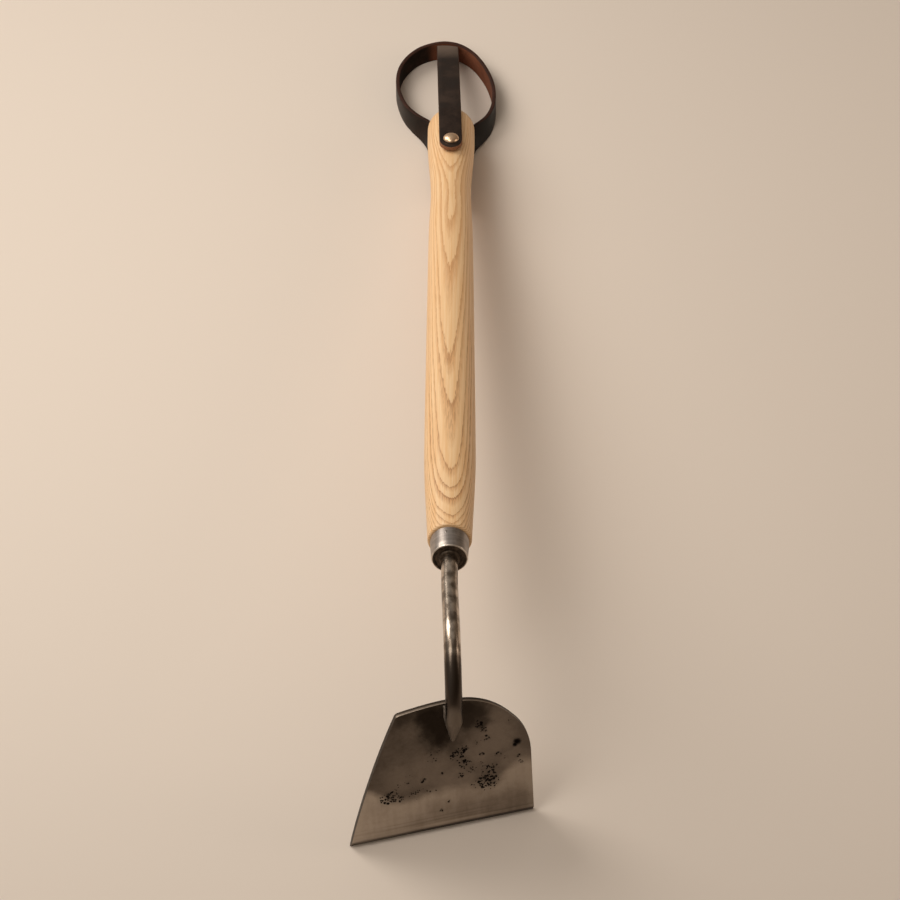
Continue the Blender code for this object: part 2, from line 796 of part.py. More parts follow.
def make_front_strap():
    """Strap on top of the butt, out to the loop's far wall and bent down inside it."""
    face, inward = wall_inside(strap_far_offset)
    far_y = face - contact_gap - strap_thickness / 2
    start = rivet_centre - handle_away * strap_end_margin + handle_up * strap_level
    leave = dome_centre + handle_up * strap_level
    bend = Vector((0.0, far_y, strap_width - strap_thickness / 2))
    end = Vector((0.0, far_y, strap_tab_clearance))
    path = rounded_path([start, leave, bend, end], [strap_leave_bend, strap_end_bend], 6)
    half = strap_width / 2
    ahead = (path[1] - path[0]).normalized()
    head = [path[0] + ahead * half * share for share in (0.0, 0.06, 0.18, 0.36, 0.62, 1.0)]
    path = head + densify([head[-1]] + path[1:], strap_step)[1:]
    strap_slope = (leave.z - bend.z) / (bend - leave).length
    reached = distances(path)
    headings = tangents(path)
    rings = []
    for point, heading, run in zip(path, headings, reached):
        share = (point.y - start.y) / (far_y - start.y)
        out = Vector((1, 0, 0)).cross(heading)
        near_wall = smooth_share(1 - (far_y - point.y) / (1.6 * strap_width))
        seat = smooth_share((-heading.z - strap_slope) / (1 - strap_slope))
        slide = heading.lerp(Vector((0, 1, 0)), seat)
        width = rounded_half_width(run)
        upper = []
        lower = []
        for x in [width * k / 3 for k in range(-3, 4)]:
            at_x = strap_far_offset * share + x
            wall, inward = wall_inside(at_x)
            place = point + Vector((at_x, 0, 0)) + slide * (wall - face) * near_wall
            seated = Vector((at_x, wall + contact_gap / inward.y, point.z))
            upper.append((place + out * strap_thickness / 2).lerp(seated, seat))
            lower.append((place - out * strap_thickness / 2).lerp(seated + inward * strap_thickness, seat))
        rings.append(upper + lower[::-1])
    return add_object("front_strap", loft(rings), black_leather(), 30.0)


# Rivets

def rivet_profile(shank, head_radius, head_rise, head_base, peen_top):
    """Domed head above head_base, shank, and a peened end that spreads below peen_top."""
    profile = [(0.0, head_base + head_rise)]
    for k in (1, 2, 3, 4):
        angle = math.pi / 2 * k / 5
        profile.append((head_radius * math.sin(angle), head_base + head_rise * math.cos(angle)))
    peen = shank + peen_overhang
    profile += [
        (head_radius, head_base + head_rise * 0.12),
        (head_radius * 0.96, head_base),
        (shank, head_base),
        (shank, peen_top),
        (peen, peen_top),
        (peen * 0.8, peen_top - peen_rise * 0.7),
        (0.0, peen_top - peen_rise),
    ]
    return profile


def make_burr(name, hole, radius, thickness, top):
    """Washer that the shank is peened over."""
    profile = [(hole, top), (radius, top), (radius, top - thickness), (hole, top - thickness)]
    return add_object(name, turn(profile, small_facets), warm_brass())


def make_butt_rivet():
    """Rivet from the front strap's top, through the handle, to the burr under the loop's ends."""
    frame = Matrix.Translation(rivet_centre) @ Matrix.Rotation(-handle_pitch, 4, "X")
    head_base = strap_level + strap_thickness / 2 + contact_gap
    burr_top = -(flare_radius + leather_stack + contact_gap)
    peen_top = burr_top - butt_burr_thickness - contact_gap
    profile = rivet_profile(butt_rivet_shank_radius, butt_rivet_head_radius, butt_rivet_head_rise,
                            head_base, peen_top)
    rivet = add_object("butt_rivet", turn(profile, small_facets), warm_brass(), 50.0)
    rivet.matrix_world = frame
    burr = make_burr("butt_rivet_burr", butt_rivet_shank_radius + contact_gap, butt_burr_radius,
                     butt_burr_thickness, burr_top)
    burr.matrix_world = frame
    return frame


def loop_rivet_frame():
    """Centre of the loop's far wall, Z pointing inward."""
    face, inward = wall_inside(strap_far_offset)
    place = Vector((strap_far_offset, face, loop_rivet_height)) - inward * strap_thickness / 2
    return Matrix.Translation(place) @ inward.to_track_quat("Z", "Y").to_matrix().to_4x4()


def make_loop_rivet(loop_pivot):
    """Small rivet through the front strap's end and the loop, head inside."""
    frame = loop_rivet_frame()
    head_base = strap_thickness * 1.5 + contact_gap * 3
    burr_top = -strap_thickness / 2 - contact_gap
    peen_top = burr_top - loop_burr_thickness - contact_gap
    profile = rivet_profile(loop_rivet_shank_radius, loop_rivet_head_radius, loop_rivet_head_rise,
                            head_base, peen_top)
    rivet = add_object("loop_rivet", turn(profile, small_facets), warm_brass(), 50.0)
    burr = make_burr("loop_rivet_burr", loop_rivet_shank_radius + contact_gap, loop_burr_radius,
                     loop_burr_thickness, burr_top)
    for piece in (rivet, burr):
        piece.matrix_world = frame
        carry(loop_pivot, piece)
    return frame


# Assembly

clear_scene()
handle_axis = add_empty("handle_axis", ferrule_front, (-math.pi / 2 - handle_pitch, 0.0, 0.0))
loop_pivot = add_empty("loop_pivot", rivet_centre, (-handle_pitch, 0.0, 0.0))

make_blade()
neck = make_neck()
weld = make_blade_weld()
cut(weld, make_weld_clearance())
make_neck_weld(handle_axis)
ferrule = make_ferrule(handle_axis)
make_ferrule_disc(handle_axis)
make_ferrule_pin()
handle = make_handle(handle_axis)

front_strap = make_front_strap()
hanging_loop = make_hanging_loop()
carry(loop_pivot, front_strap)
carry(loop_pivot, hanging_loop)
butt_frame = make_butt_rivet()
loop_frame = make_loop_rivet(loop_pivot)

pin_hole = rod_cutter("pin_hole", pin_radius + contact_gap, 4 * ferrule_back_radius, pin_frame())
for piece in (ferrule, handle, neck):
    cut(piece, pin_hole)
butt_hole = rod_cutter("butt_rivet_hole", butt_rivet_shank_radius + contact_gap, 4 * flare_radius,
                       butt_frame)
for piece in (handle, front_strap, hanging_loop):
    cut(piece, butt_hole)
loop_hole = rod_cutter("loop_rivet_hole", loop_rivet_shank_radius + contact_gap, 8 * strap_thickness,
                       loop_frame)
for piece in (front_strap, hanging_loop):
    cut(piece, loop_hole)
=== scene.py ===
"""A short-handled forged hand hoe with a riveted leather hanging loop, lying on a pale surface.

Lengths are in metres. +Y runs from the blade along the handle to the loop, +Z is up, and the
cutting edge is at the origin.
"""

import json
import math

import bmesh
import bpy
from mathutils import Matrix, Vector

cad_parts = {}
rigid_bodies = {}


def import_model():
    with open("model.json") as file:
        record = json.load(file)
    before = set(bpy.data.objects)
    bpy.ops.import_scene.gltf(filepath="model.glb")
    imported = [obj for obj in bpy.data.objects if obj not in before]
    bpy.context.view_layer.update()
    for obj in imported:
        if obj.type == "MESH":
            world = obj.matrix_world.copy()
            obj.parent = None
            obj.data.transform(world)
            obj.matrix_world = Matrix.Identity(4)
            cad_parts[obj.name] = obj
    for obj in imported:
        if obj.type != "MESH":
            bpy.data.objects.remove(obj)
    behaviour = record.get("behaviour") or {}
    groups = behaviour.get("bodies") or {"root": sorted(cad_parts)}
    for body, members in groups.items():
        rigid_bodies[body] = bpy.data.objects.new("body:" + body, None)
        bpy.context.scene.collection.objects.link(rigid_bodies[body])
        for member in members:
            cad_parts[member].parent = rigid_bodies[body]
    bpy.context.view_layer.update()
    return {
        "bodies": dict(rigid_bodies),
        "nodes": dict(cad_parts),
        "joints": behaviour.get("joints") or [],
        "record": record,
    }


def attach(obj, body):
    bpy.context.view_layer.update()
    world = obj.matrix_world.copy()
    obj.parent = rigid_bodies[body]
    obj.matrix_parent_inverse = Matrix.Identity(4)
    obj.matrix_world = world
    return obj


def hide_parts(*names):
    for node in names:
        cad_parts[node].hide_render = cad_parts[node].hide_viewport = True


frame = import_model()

MM = 0.001

# The photographer's view: a long lens from the front, high above the blade.
# The camera looks down on the hoe by 50 degrees, so the handle runs away from it.
lens_length = 120.0
camera_place = Vector((0.0, -1.0304, 1.59485))
camera_down = math.radians(50.0)
camera_roll = math.radians(0.2)

lens = bpy.data.cameras.new("product_view")
lens.lens = lens_length
lens.sensor_width = 36.0
lens.clip_end = 20.0
camera = bpy.data.objects.new("product_view", lens)
camera.matrix_world = (Matrix.Translation(camera_place) @ Matrix.Rotation(math.pi / 2 - camera_down, 4, "X")
                       @ Matrix.Rotation(camera_roll, 4, "Z"))
bpy.context.scene.collection.objects.link(camera)
bpy.context.scene.camera = camera
bpy.context.scene.view_settings.view_transform = "Standard"

# The studio table: a plain, matt, pale surface that reaches past the picture on all sides.
# It takes the hoe's shadow and is what the steel reflects.
table_colour = (0.785, 0.695, 0.615)
table_size = 6.0


def add_piece(mesh, finishes):
    piece = bpy.data.objects.new(mesh.name, mesh)
    for finish in finishes:
        mesh.materials.append(finish)
    bpy.context.scene.collection.objects.link(piece)
    return piece


half_table = table_size / 2
table_mesh = bpy.data.meshes.new("studio_table")
table_mesh.from_pydata([(-half_table, -half_table, 0), (half_table, -half_table, 0),
                        (half_table, half_table, 0), (-half_table, half_table, 0)], [], [(0, 1, 2, 3)])
table_finish = bpy.data.materials.new("matt_table")
table_finish.use_nodes = True
table_shader = table_finish.node_tree.nodes["Principled BSDF"]
table_shader.inputs["Base Color"].default_value = (*table_colour, 1.0)
table_shader.inputs["Roughness"].default_value = 0.95
table_shader.inputs["Specular IOR Level"].default_value = 0.1
studio_table = add_piece(table_mesh, [table_finish])

# Soft studio light. The key softbox hangs high at the left. A window-like softbox behind the hoe
# draws the highlight on the neck and throws the blade's shadow forward. A weak warm card at the
# right opens the shadow side, and the room glows more from the left than from the right.
key_place = Vector((-0.55, -0.04, 1.14))
key_aim = Vector((-0.12, 0.52, 0.0))
key_size = (0.52, 0.74)
key_spread = math.radians(105.0)
key_power = 1.95
window_place = Vector((-1.06, 1.05, 1.12))
window_aim = Vector((0.0, 0.34, 0.0))
window_size = (0.90, 1.10)
window_spread = math.radians(120.0)
window_power = 6.9
softbox_colour = (1.0, 0.94, 0.86)
card_place = Vector((1.55, 0.28, 0.62))
card_aim = Vector((0.0, 0.36, 0.05))
card_size = (0.80, 0.80)
card_spread = math.radians(150.0)
card_power = 2.2
card_colour = (1.0, 0.84, 0.70)
glow_near_colour = (1.0, 0.93, 0.84, 1.0)
glow_far_colour = (1.0, 0.74, 0.50, 1.0)
glow_side = Vector((-0.84, 0.25, 0.48)).normalized()
glow_far = 0.11
glow_near = 0.40


def hang_softbox(name, place, aim, size, spread, power, colour):
    light = bpy.data.lights.new(name, "AREA")
    light.shape = "RECTANGLE"
    light.size, light.size_y = size
    light.spread = spread
    light.energy = power
    light.color = colour
    softbox = bpy.data.objects.new(name, light)
    softbox.location = place
    softbox.rotation_euler = (aim - place).to_track_quat("-Z", "Y").to_euler()
    bpy.context.scene.collection.objects.link(softbox)


def add_node(kind, sockets, **settings):
    """Add a shader node to the tree of the sockets that feed it, with its other sockets set."""
    tree = next(value.id_data for value in sockets.values() if isinstance(value, bpy.types.NodeSocket))
    node = tree.nodes.new("ShaderNode" + kind)
    for name, value in settings.items():
        setattr(node, name, value)
    for name, value in sockets.items():
        if isinstance(value, bpy.types.NodeSocket):
            tree.links.new(value, node.inputs[name])
        else:
            node.inputs[name].default_value = value
    return node


def mapped(value, start, end, low=0.0, high=1.0, soft=False):
    """The value's run from start to end, turned into a run from low to high."""
    sockets = {"Value": value, "From Min": start, "From Max": end, "To Min": low, "To Max": high}
    return add_node("MapRange", sockets, interpolation_type="SMOOTHSTEP" if soft else "LINEAR").outputs[0]


def blend(share, first, second):
    """A share of the second colour in the first."""
    return add_node("MixRGB", {"Fac": share, "Color1": first, "Color2": second}).outputs[0]


hang_softbox("key_softbox", key_place, key_aim, key_size, key_spread, key_power, softbox_colour)
hang_softbox("window_softbox", window_place, window_aim, window_size, window_spread, window_power,
             softbox_colour)
hang_softbox("warm_card", card_place, card_aim, card_size, card_spread, card_power, card_colour)
glow = bpy.data.worlds.new("studio_glow")
glow.use_nodes = True
background = glow.node_tree.nodes["Background"]
direction = glow.node_tree.nodes.new("ShaderNodeTexCoord").outputs["Generated"]
toward = add_node("VectorMath", {0: direction, 1: glow_side}, operation="DOT_PRODUCT").outputs["Value"]
glow_level = mapped(toward, -0.7, 1.0, glow_far, glow_near, soft=True)
glow_tint = blend(mapped(toward, -0.4, 0.5), glow_far_colour, glow_near_colour)
glow.node_tree.links.new(glow_tint, background.inputs["Color"])
glow.node_tree.links.new(glow_level, background.inputs["Strength"])
bpy.context.scene.world = glow

# Blade: a trapezoid of 3.8 mm steel plate, hammered flat, with one big round shoulder.
# The upper part keeps its dark, pitted forge scale. The lower third is ground bright, and
# the front is bevelled to the cutting edge.
blade_lean = math.radians(16.0)
blade_yaw = math.radians(13.9)
blade_edge_length = 118.5 * MM
blade_height = 100.6 * MM
blade_thickness = 3.8 * MM
blade_tip_to_axis = 63.8 * MM
blade_left_shoulder_u = 36.2 * MM
blade_left_shoulder_drop = 3.4 * MM
blade_left_shoulder_radius = 1.8 * MM
blade_left_side_bow = 2.1 * MM
blade_right_side_flare = 0.5 * MM
blade_right_round_width = 46.0 * MM
blade_right_round_height = 50.0 * MM
blade_bevel_height = 4.5 * MM
blade_edge_land = 0.8 * MM
blade_crest_drop = 0.2 * MM
blade_crest_dip = 0.5 * MM
blade_crest_rise = 0.8 * MM
blade_left_crest_rise = 2.0 * MM
blade_arris_width = 0.22 * MM
blade_back_level = -blade_edge_land / 2
blade_front_level = blade_back_level + blade_thickness
cut_tolerance = 0.0001 * MM
blade_frame = Matrix.Rotation(blade_yaw, 4, "Z") @ Matrix.Rotation(math.pi / 2 - blade_lean, 4, "X")

scale_dark = (0.080, 0.062, 0.048, 1.0)
scale_light = (0.230, 0.187, 0.152, 1.0)
heat_black = (0.024, 0.017, 0.012, 1.0)
ground_steel = (0.415, 0.350, 0.290, 1.0)
ground_dull_and_shaded = (0.235, 0.189, 0.150, 1.0)
edge_dark = (0.050, 0.037, 0.027, 1.0)
edge_painted_highlight = (0.34, 0.275, 0.222, 1.0)
pit_black = (0.011, 0.007, 0.005, 1.0)
bevel_highlight_steel = (0.54, 0.455, 0.375, 1.0)
ground_line_height = 31.5 * MM
highlight_line_height = 6.4 * MM
# Patches on the blade: u from under the handle's axis, v up the blade and reach, in millimetres,
# and strength
pit_patches = [
    (-36.0, 34.8, 9.1, 1.00), (-39.8, 34.2, 5.2, 0.80), (-29.5, 33.1, 5.2, 0.70), (-18.6, 34.5, 8.4, 0.45),
    (-14.2, 43.9, 2.8, 0.90), (-1.5, 46.4, 2.1, 1.00), (-6.8, 60.0, 9.1, 0.40), (8.5, 59.1, 8.0, 0.95),
    (12.4, 61.8, 4.5, 1.00), (12.5, 50.7, 7.1, 0.70), (16.3, 45.5, 5.8, 0.70), (9.9, 42.1, 3.9, 0.80),
    (26.5, 33.7, 11.0, 1.00), (23.9, 32.8, 7.1, 1.00), (30.0, 42.9, 6.5, 0.80), (25.4, 43.1, 5.2, 0.70),
    (23.6, 55.2, 2.3, 1.00), (23.2, 47.9, 2.3, 1.00), (24.3, 78.6, 5.2, 1.00), (26.6, 74.1, 3.6, 1.00),
    (27.7, 67.3, 4.5, 0.60), (20.9, 65.4, 2.6, 0.80), (47.0, 48.0, 2.8, 0.90), (48.0, 43.0, 2.3, 0.90),
    (39.1, 49.0, 2.6, 0.60), (34.8, 52.8, 4.5, 0.60), (-4.0, 17.1, 2.1, 0.90), (1.0, 22.8, 1.8, 0.90),
    (-32.1, 42.3, 6.5, 0.40), (-22.4, 50.4, 5.8, 0.35), (-23.7, 43.8, 3.9, 0.60), (-10.2, 35.4, 7.8, 0.40),
    (18.0, 32.2, 5.2, 0.50), (43.3, 77.4, 4.5, 0.40),
]
heat_patches = [
    (-6.1, 93.1, 17.2, 1.00), (-1.7, 84.8, 18.8, 1.00), (-1.2, 75.3, 14.8, 1.00), (-5.3, 80.5, 14.8, 0.90),
    (-10.0, 95.1, 12.5, 0.70), (16.9, 92.4, 14.1, 0.90), (22.4, 88.9, 12.5, 0.80), (16.3, 83.2, 10.9, 0.80),
    (24.8, 81.0, 8.6, 0.70), (-22.2, 95.7, 10.9, 0.50), (6.1, 66.1, 9.4, 0.50),
]
worn_patches = [
    (35.7, 76.2, 21.4, 0.50), (31.7, 64.7, 18.6, 0.45), (20.6, 60.2, 17.1, 0.35), (-18.1, 85.9, 15.7, 0.25),
    (-31.7, 47.5, 17.1, 0.25), (44.9, 46.5, 12.9, 0.35), (-9.0, 52.1, 17.1, 0.30), (6.6, 37.4, 17.1, 0.35),
]
# Painted shade: patches that darken the ground zone towards the lower right, a painted reflection of the
# blade's shadow on the table
reflected_shade_patches = [
    (42.0, 10.8, 19.7, 0.90), (28.4, 10.1, 19.7, 0.75), (11.6, 11.3, 19.7, 0.65), (-3.3, 15.3, 16.7, 0.50),
    (-17.4, 6.1, 13.7, 0.40), (14.2, 24.7, 16.7, 0.35), (-44.2, 26.3, 12.1, 0.25),
]
flaw_patches = [(46.6, 59.7, 3.6, 1.0), (45.2, 57.6, 2.2, 1.0)]


def bezier(start, first, second, end, steps):
    """Points along a cubic curve, its start left out."""
    points = []
    for k in range(1, steps + 1):
        t = k / steps
        r = 1 - t
        points.append(r**3 * start + 3 * r * r * t * first + 3 * r * t * t * second + t**3 * end)
    return points


def blade_outline():
    top = Vector((blade_edge_length - blade_right_round_width, blade_height - blade_crest_drop))
    side = Vector((blade_edge_length + blade_right_side_flare, blade_height - blade_right_round_height))
    round_width = side.x - top.x
    round_height = top.y - side.y
    middle = Vector((side.x - 0.262 * round_width, side.y + 0.65 * round_height))
    slope = Vector((-0.64, 0.77))
    shoulder = Vector((blade_left_shoulder_u, blade_height - blade_left_shoulder_drop))
    outline = [Vector((0.0, 0.0)), Vector((blade_edge_length, 0.0)), side]
    outline += bezier(side, side + Vector((0, 0.33 * round_height)), middle - slope * 0.22 * round_width,
                      middle, 16)
    outline += bezier(middle, middle + slope * 0.31 * round_width,
                      top + Vector((0.30 * round_width, -blade_crest_dip)), top, 16)
    crest = Vector((top.x - shoulder.x, 0))
    after_round = shoulder + Vector((blade_left_shoulder_radius, 0.22 * blade_left_shoulder_radius))
    outline += bezier(top, top - crest * 0.24 + Vector((0, blade_crest_rise)),
                      after_round + crest * 0.30 + Vector((0, blade_left_crest_rise)), after_round, 14)
    down_side = (Vector((0.0, 0.0)) - shoulder).normalized()
    below = shoulder + down_side * blade_left_shoulder_radius
    outline += bezier(after_round, after_round.lerp(shoulder, 0.7), below.lerp(shoulder, 0.7), below, 8)
    outward = Vector((down_side.y, -down_side.x)) * (blade_left_side_bow * 4 / 3)
    outline += bezier(below, below * 0.7 + outward, below * 0.3 + outward, Vector((0.0, 0.0)), 14)[:-1]
    return outline


def grind_off(plate, place, normal):
    """Take away what lies beyond a plane and close the cut."""
    everything = plate.verts[:] + plate.edges[:] + plate.faces[:]
    bmesh.ops.bisect_plane(plate, geom=everything, dist=cut_tolerance, plane_co=place, plane_no=normal,
                           clear_outer=True)
    rim = [edge for edge in plate.edges if edge.is_boundary]
    bmesh.ops.contextual_create(plate, geom=rim)


def ground_plate():
    plate = bmesh.new()
    base = []
    for point in blade_outline():
        down = blade_edge_land if point.y < cut_tolerance else 0.0
        base.append(plate.verts.new((point.x - blade_tip_to_axis, point.y - down, blade_back_level)))
    grown = bmesh.ops.extrude_face_region(plate, geom=[plate.faces.new(base)])
    moved = [item for item in grown["geom"] if isinstance(item, bmesh.types.BMVert)]
    bmesh.ops.translate(plate, verts=moved, vec=(0, 0, blade_thickness))
    bmesh.ops.recalc_face_normals(plate, faces=plate.faces)
    depth = blade_front_level - blade_back_level - blade_edge_land
    grind_off(plate, Vector((0, blade_bevel_height, blade_front_level)),
              Vector((0, -depth, blade_bevel_height)).normalized())
    grind_off(plate, Vector((0, 0, 0)), blade_frame.to_3x3().transposed() @ Vector((0, 0, -1)))
    return plate


def made_piece(name, solid, finishes, sharp):
    """Turn a bmesh into a piece, smooth but for edges sharper than so many degrees."""
    bmesh.ops.recalc_face_normals(solid, faces=solid.faces)
    mesh = bpy.data.meshes.new(name)
    solid.to_mesh(mesh)
    solid.free()
    mesh.shade_smooth()
    mesh.set_sharp_from_angle(angle=math.radians(sharp))
    return add_piece(mesh, finishes)


def new_finish(name):
    """An empty finish, and the socket that says where on the piece its shader is."""
    finish = bpy.data.materials.new(name)
    finish.use_nodes = True
    return finish, finish.node_tree.nodes.new("ShaderNodeTexCoord").outputs["Object"]


def reckon(operation, first, second=0.0, clamp=False):
    """A sum that the shader does at every point."""
    return add_node("Math", {0: first, 1: second}, operation=operation, use_clamp=clamp).outputs[0]


def plus(first, second, clamp=False):
    return reckon("ADD", first, second, clamp)


def times(first, second):
    return reckon("MULTIPLY", first, second)


def noise(place, scale, detail, roughness=0.5):
    """Cloudy noise from 0 to 1, its scale in cells per metre. Three scales stretch it along the axes."""
    if isinstance(scale, tuple):
        place = add_node("Mapping", {"Vector": place, "Scale": scale}).outputs[0]
        scale = 1.0
    return add_node("TexNoise", {"Vector": place, "Scale": scale, "Detail": detail,
                                 "Roughness": roughness}).outputs[0]


def patch_mask(place, patches):
    """Up to its strength at each patch's centre, fading to 0 at its reach; the strongest wins."""
    mask = None
    for u, v, reach, strength in patches:
        centre = (u * MM, v * MM, blade_front_level)
        away = add_node("VectorMath", {0: place, 1: centre}, operation="DISTANCE").outputs["Value"]
        fade = mapped(away, reach * MM, 0.25 * (reach * MM), 0.0, strength, soft=True)
        mask = fade if mask is None else reckon("MAXIMUM", mask, fade)
    return mask


def ragged(place, scale, amount):
    """The place pushed about by a noise, for patches with uneven rims."""
    push = add_node("TexNoise", {"Vector": place, "Scale": scale, "Detail": 4.0, "Roughness": 0.65})
    centred = add_node("VectorMath", {0: push.outputs["Color"], 1: (0.5, 0.5, 0.5)}, operation="SUBTRACT")
    pushed = add_node("VectorMath", {0: centred.outputs[0], "Scale": amount}, operation="SCALE")
    return add_node("VectorMath", {0: place, 1: pushed.outputs[0]}, operation="ADD").outputs[0]


def axes_of(vector):
    """The sockets of the vector's parts: X, Y and Z."""
    return add_node("SeparateXYZ", {0: vector}).outputs


def pit_layer(place, density, cells_per_metre, reach):
    """Round-bottomed pits: one in each cell whose chance is below the density."""
    cells = add_node("TexVoronoi", {"Vector": place, "Scale": cells_per_metre})
    chance = axes_of(cells.outputs["Color"])["X"]
    present = mapped(reckon("SUBTRACT", density, chance), 0.0, 0.35, 0.0, reach)
    inside = reckon("SUBTRACT", present, cells.outputs["Distance"])
    return mapped(inside, -0.05, 0.23, soft=True)


def finish_off(finish, colour, rough, relief, strength, distance, metallic=0.0):
    """Join colour, roughness and relief to the finish's shader."""
    shader = finish.node_tree.nodes["Principled BSDF"]
    bump = add_node("Bump", {"Height": relief, "Strength": strength, "Distance": distance}).outputs[0]
    for value, name in ((colour, "Base Color"), (rough, "Roughness"), (bump, "Normal")):
        finish.node_tree.links.new(value, shader.inputs[name])
    shader.inputs["Metallic"].default_value = metallic
    return finish


def forged_blade_finish():
    finish, place = new_finish("forged_blade_steel")
    axes = axes_of(place)
    cloud = noise(place, 45.0, 5.0, 0.6)
    mottle = noise(place, 260.0, 5.0, 0.68)
    leaning = add_node("Mapping", {"Vector": place, "Scale": (300.0, 30.0, 300.0),
                                   "Rotation": (0.0, 0.0, 0.12)}).outputs[0]
    strokes = noise(leaning, 1.0, 4.0)
    hone = noise(place, (9.0, 380.0, 9.0), 3.0)

    # Ground zone: it climbs towards both sides, and its upper limit is soft and uneven
    right_rise = mapped(axes["X"], 30 * MM, 48 * MM, 0.0, 12.0 * MM, soft=True)
    left_rise = mapped(axes["X"], -30 * MM, -52 * MM, 0.0, 9.0 * MM, soft=True)
    wander = mapped(cloud, 0.3, 0.7, ground_line_height - 3.5 * MM, ground_line_height + 4.5 * MM)
    line = plus(plus(right_rise, left_rise), wander)
    ground = mapped(reckon("SUBTRACT", line, axes["Y"]), -5.5 * MM, 6.0 * MM, soft=True)

    uneven = ragged(place, 110.0, 13 * MM)
    heat = patch_mask(uneven, heat_patches)
    worn = patch_mask(uneven, worn_patches)
    reflected_shade = patch_mask(uneven, reflected_shade_patches)
    pitted = patch_mask(ragged(place, 230.0, 5 * MM), pit_patches)
    crumbled = ragged(place, 650.0, 1.7 * MM)
    fine_pits = pit_layer(crumbled, pitted, 760.0, 0.62)
    coarse_pits = pit_layer(crumbled, times(pitted, 0.62), 400.0, 0.55)
    pits = reckon("MAXIMUM", fine_pits, coarse_pits)
    pits = reckon("MAXIMUM", pits, patch_mask(crumbled, flaw_patches))
    grime = mapped(pitted, 0.0, 1.0, 0.0, 0.3)

    tone = plus(mapped(mottle, 0.35, 0.65, -0.15, 0.15), worn)
    tone = plus(tone, mapped(cloud, 0.3, 0.7, -0.08, 0.30))
    rubbed = mapped(axes["Y"], 88 * MM, 42 * MM, 0.05, 0.62)
    inboard = mapped(axes["X"], -44 * MM, -12 * MM, 0.35, 1.0)
    tone = plus(tone, times(rubbed, inboard), clamp=True)
    scale = blend(heat, blend(tone, scale_dark, scale_light), heat_black)
    # The ground zone darkens with painted shade towards the lower right, and with streaks and mottling
    shade_and_strokes = plus(reflected_shade, mapped(strokes, 0.3, 0.7, -0.10, 0.18))
    shade_and_strokes = plus(shade_and_strokes, mapped(mottle, 0.35, 0.65, -0.08, 0.12), clamp=True)
    colour = blend(ground, scale, blend(shade_and_strokes, ground_steel, ground_dull_and_shaded))

    # Towards the edge: painted shade on the bevel, strongest right of the tip, where the steel reflects the
    # blade's shadow on the table, and faint dark hone lines above the bevel
    from_tip = mapped(axes["X"], -56 * MM, -14 * MM, 0.6, 1.0)
    honed = times(mapped(axes["Y"], 19 * MM, 9 * MM, 0.0, 0.5), mapped(hone, 0.48, 0.68))
    bevel = mapped(axes["Y"], blade_bevel_height + 0.9 * MM, blade_bevel_height - 0.9 * MM, 0.0, 0.92,
                   soft=True)
    shade = times(reckon("MAXIMUM", honed, bevel), from_tip)
    colour = blend(shade, colour, edge_dark)
    # A painted highlight along a line just above the bevel, where a second bevel would catch the light,
    # fading towards both sides
    line_away = reckon("ABSOLUTE", reckon("SUBTRACT", axes["Y"], highlight_line_height))
    midway = mapped(reckon("ABSOLUTE", axes["X"]), 36 * MM, 14 * MM)
    painted_highlight = times(mapped(line_away, 1.3 * MM, 0.2 * MM, 0.0, 0.5), midway)
    colour = blend(painted_highlight, colour, bevel_highlight_steel)
    colour = blend(grime, colour, scale_dark)

    # The plate's cut edge: dark at the sides, with a painted highlight along the top, where the edge faces up
    # near the front face
    facing = axes_of(finish.node_tree.nodes.new("ShaderNodeTexCoord").outputs["Normal"])
    rim = mapped(reckon("ABSOLUTE", facing["Z"]), 0.75, 0.35)
    upward = mapped(facing["Y"], 0.40, 0.90)
    frontward = mapped(axes["Z"], blade_back_level + 1.2 * MM, blade_front_level, soft=True)
    rim_tone = blend(times(upward, frontward), edge_dark, edge_painted_highlight)
    colour = blend(pits, blend(rim, colour, rim_tone), pit_black)

    rough = mapped(mottle, 0.35, 0.65, 0.38, 0.54)
    rough = mapped(ground, 0.0, 1.0, rough, 0.38)
    rough = mapped(pits, 0.0, 1.0, rough, 0.9)
    relief = plus(mottle, times(pits, -1.5))
    return finish_off(finish, colour, rough, relief, 0.3, 0.3 * MM, 1.0)


blade = made_piece("blade_plate", ground_plate(), [forged_blade_finish()], 35)
blade.rotation_euler = (math.pi / 2 - blade_lean, 0.0, blade_yaw)
arris = blade.modifiers.new("hammered_arris", "BEVEL")
arris.width = blade_arris_width
arris.segments = 3
arris.limit_method = "ANGLE"
arris.angle_limit = math.radians(40)
arris.harden_normals = True
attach(blade, "hoe")
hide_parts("blade")

# Neck: one round bar, bent hot through a right angle and drawn to a point on the blade.
# Its other end tapers to a tang inside the handle. Brushed after forging, it keeps dark pores.
handle_pitch = math.radians(10.7)
contact_gap = 0.3 * MM
ferrule_reach = 122.5 * MM
handle_reach = 501.4 * MM
flare_radius = 17.5 * MM
strap_thickness = 2.8 * MM
leg_gap = 0.6 * MM
loop_ground_clearance = 0.8 * MM
rod_radius = 5.25 * MM
neck_bend_radius = 40.0 * MM
neck_lap = 28.1 * MM
neck_kink_reach = 25.0 * MM
neck_set_over = 2.4 * MM
neck_set_back = 3.2 * MM
neck_tip_taper = 17.0 * MM
neck_tip_radius = 1.3 * MM
tang_length = 95.0 * MM
tang_taper = 30.0 * MM
tang_end_radius = 3.4 * MM

neck_dark = (0.17, 0.133, 0.103, 1.0)
neck_light = (0.58, 0.488, 0.406, 1.0)
pore_black = (0.012, 0.008, 0.006, 1.0)
bend_painted_shade = (0.070, 0.054, 0.043, 1.0)
tip_brown = (0.20, 0.162, 0.13, 1.0)
# The first band is painted shade: it darkens the lower part of the bend near the blade, where a second
# highlight would fall
neck_bands = [(47 * MM, 35 * MM, bend_painted_shade, 0.30), (18 * MM, 15 * MM, tip_brown, 0.58)]

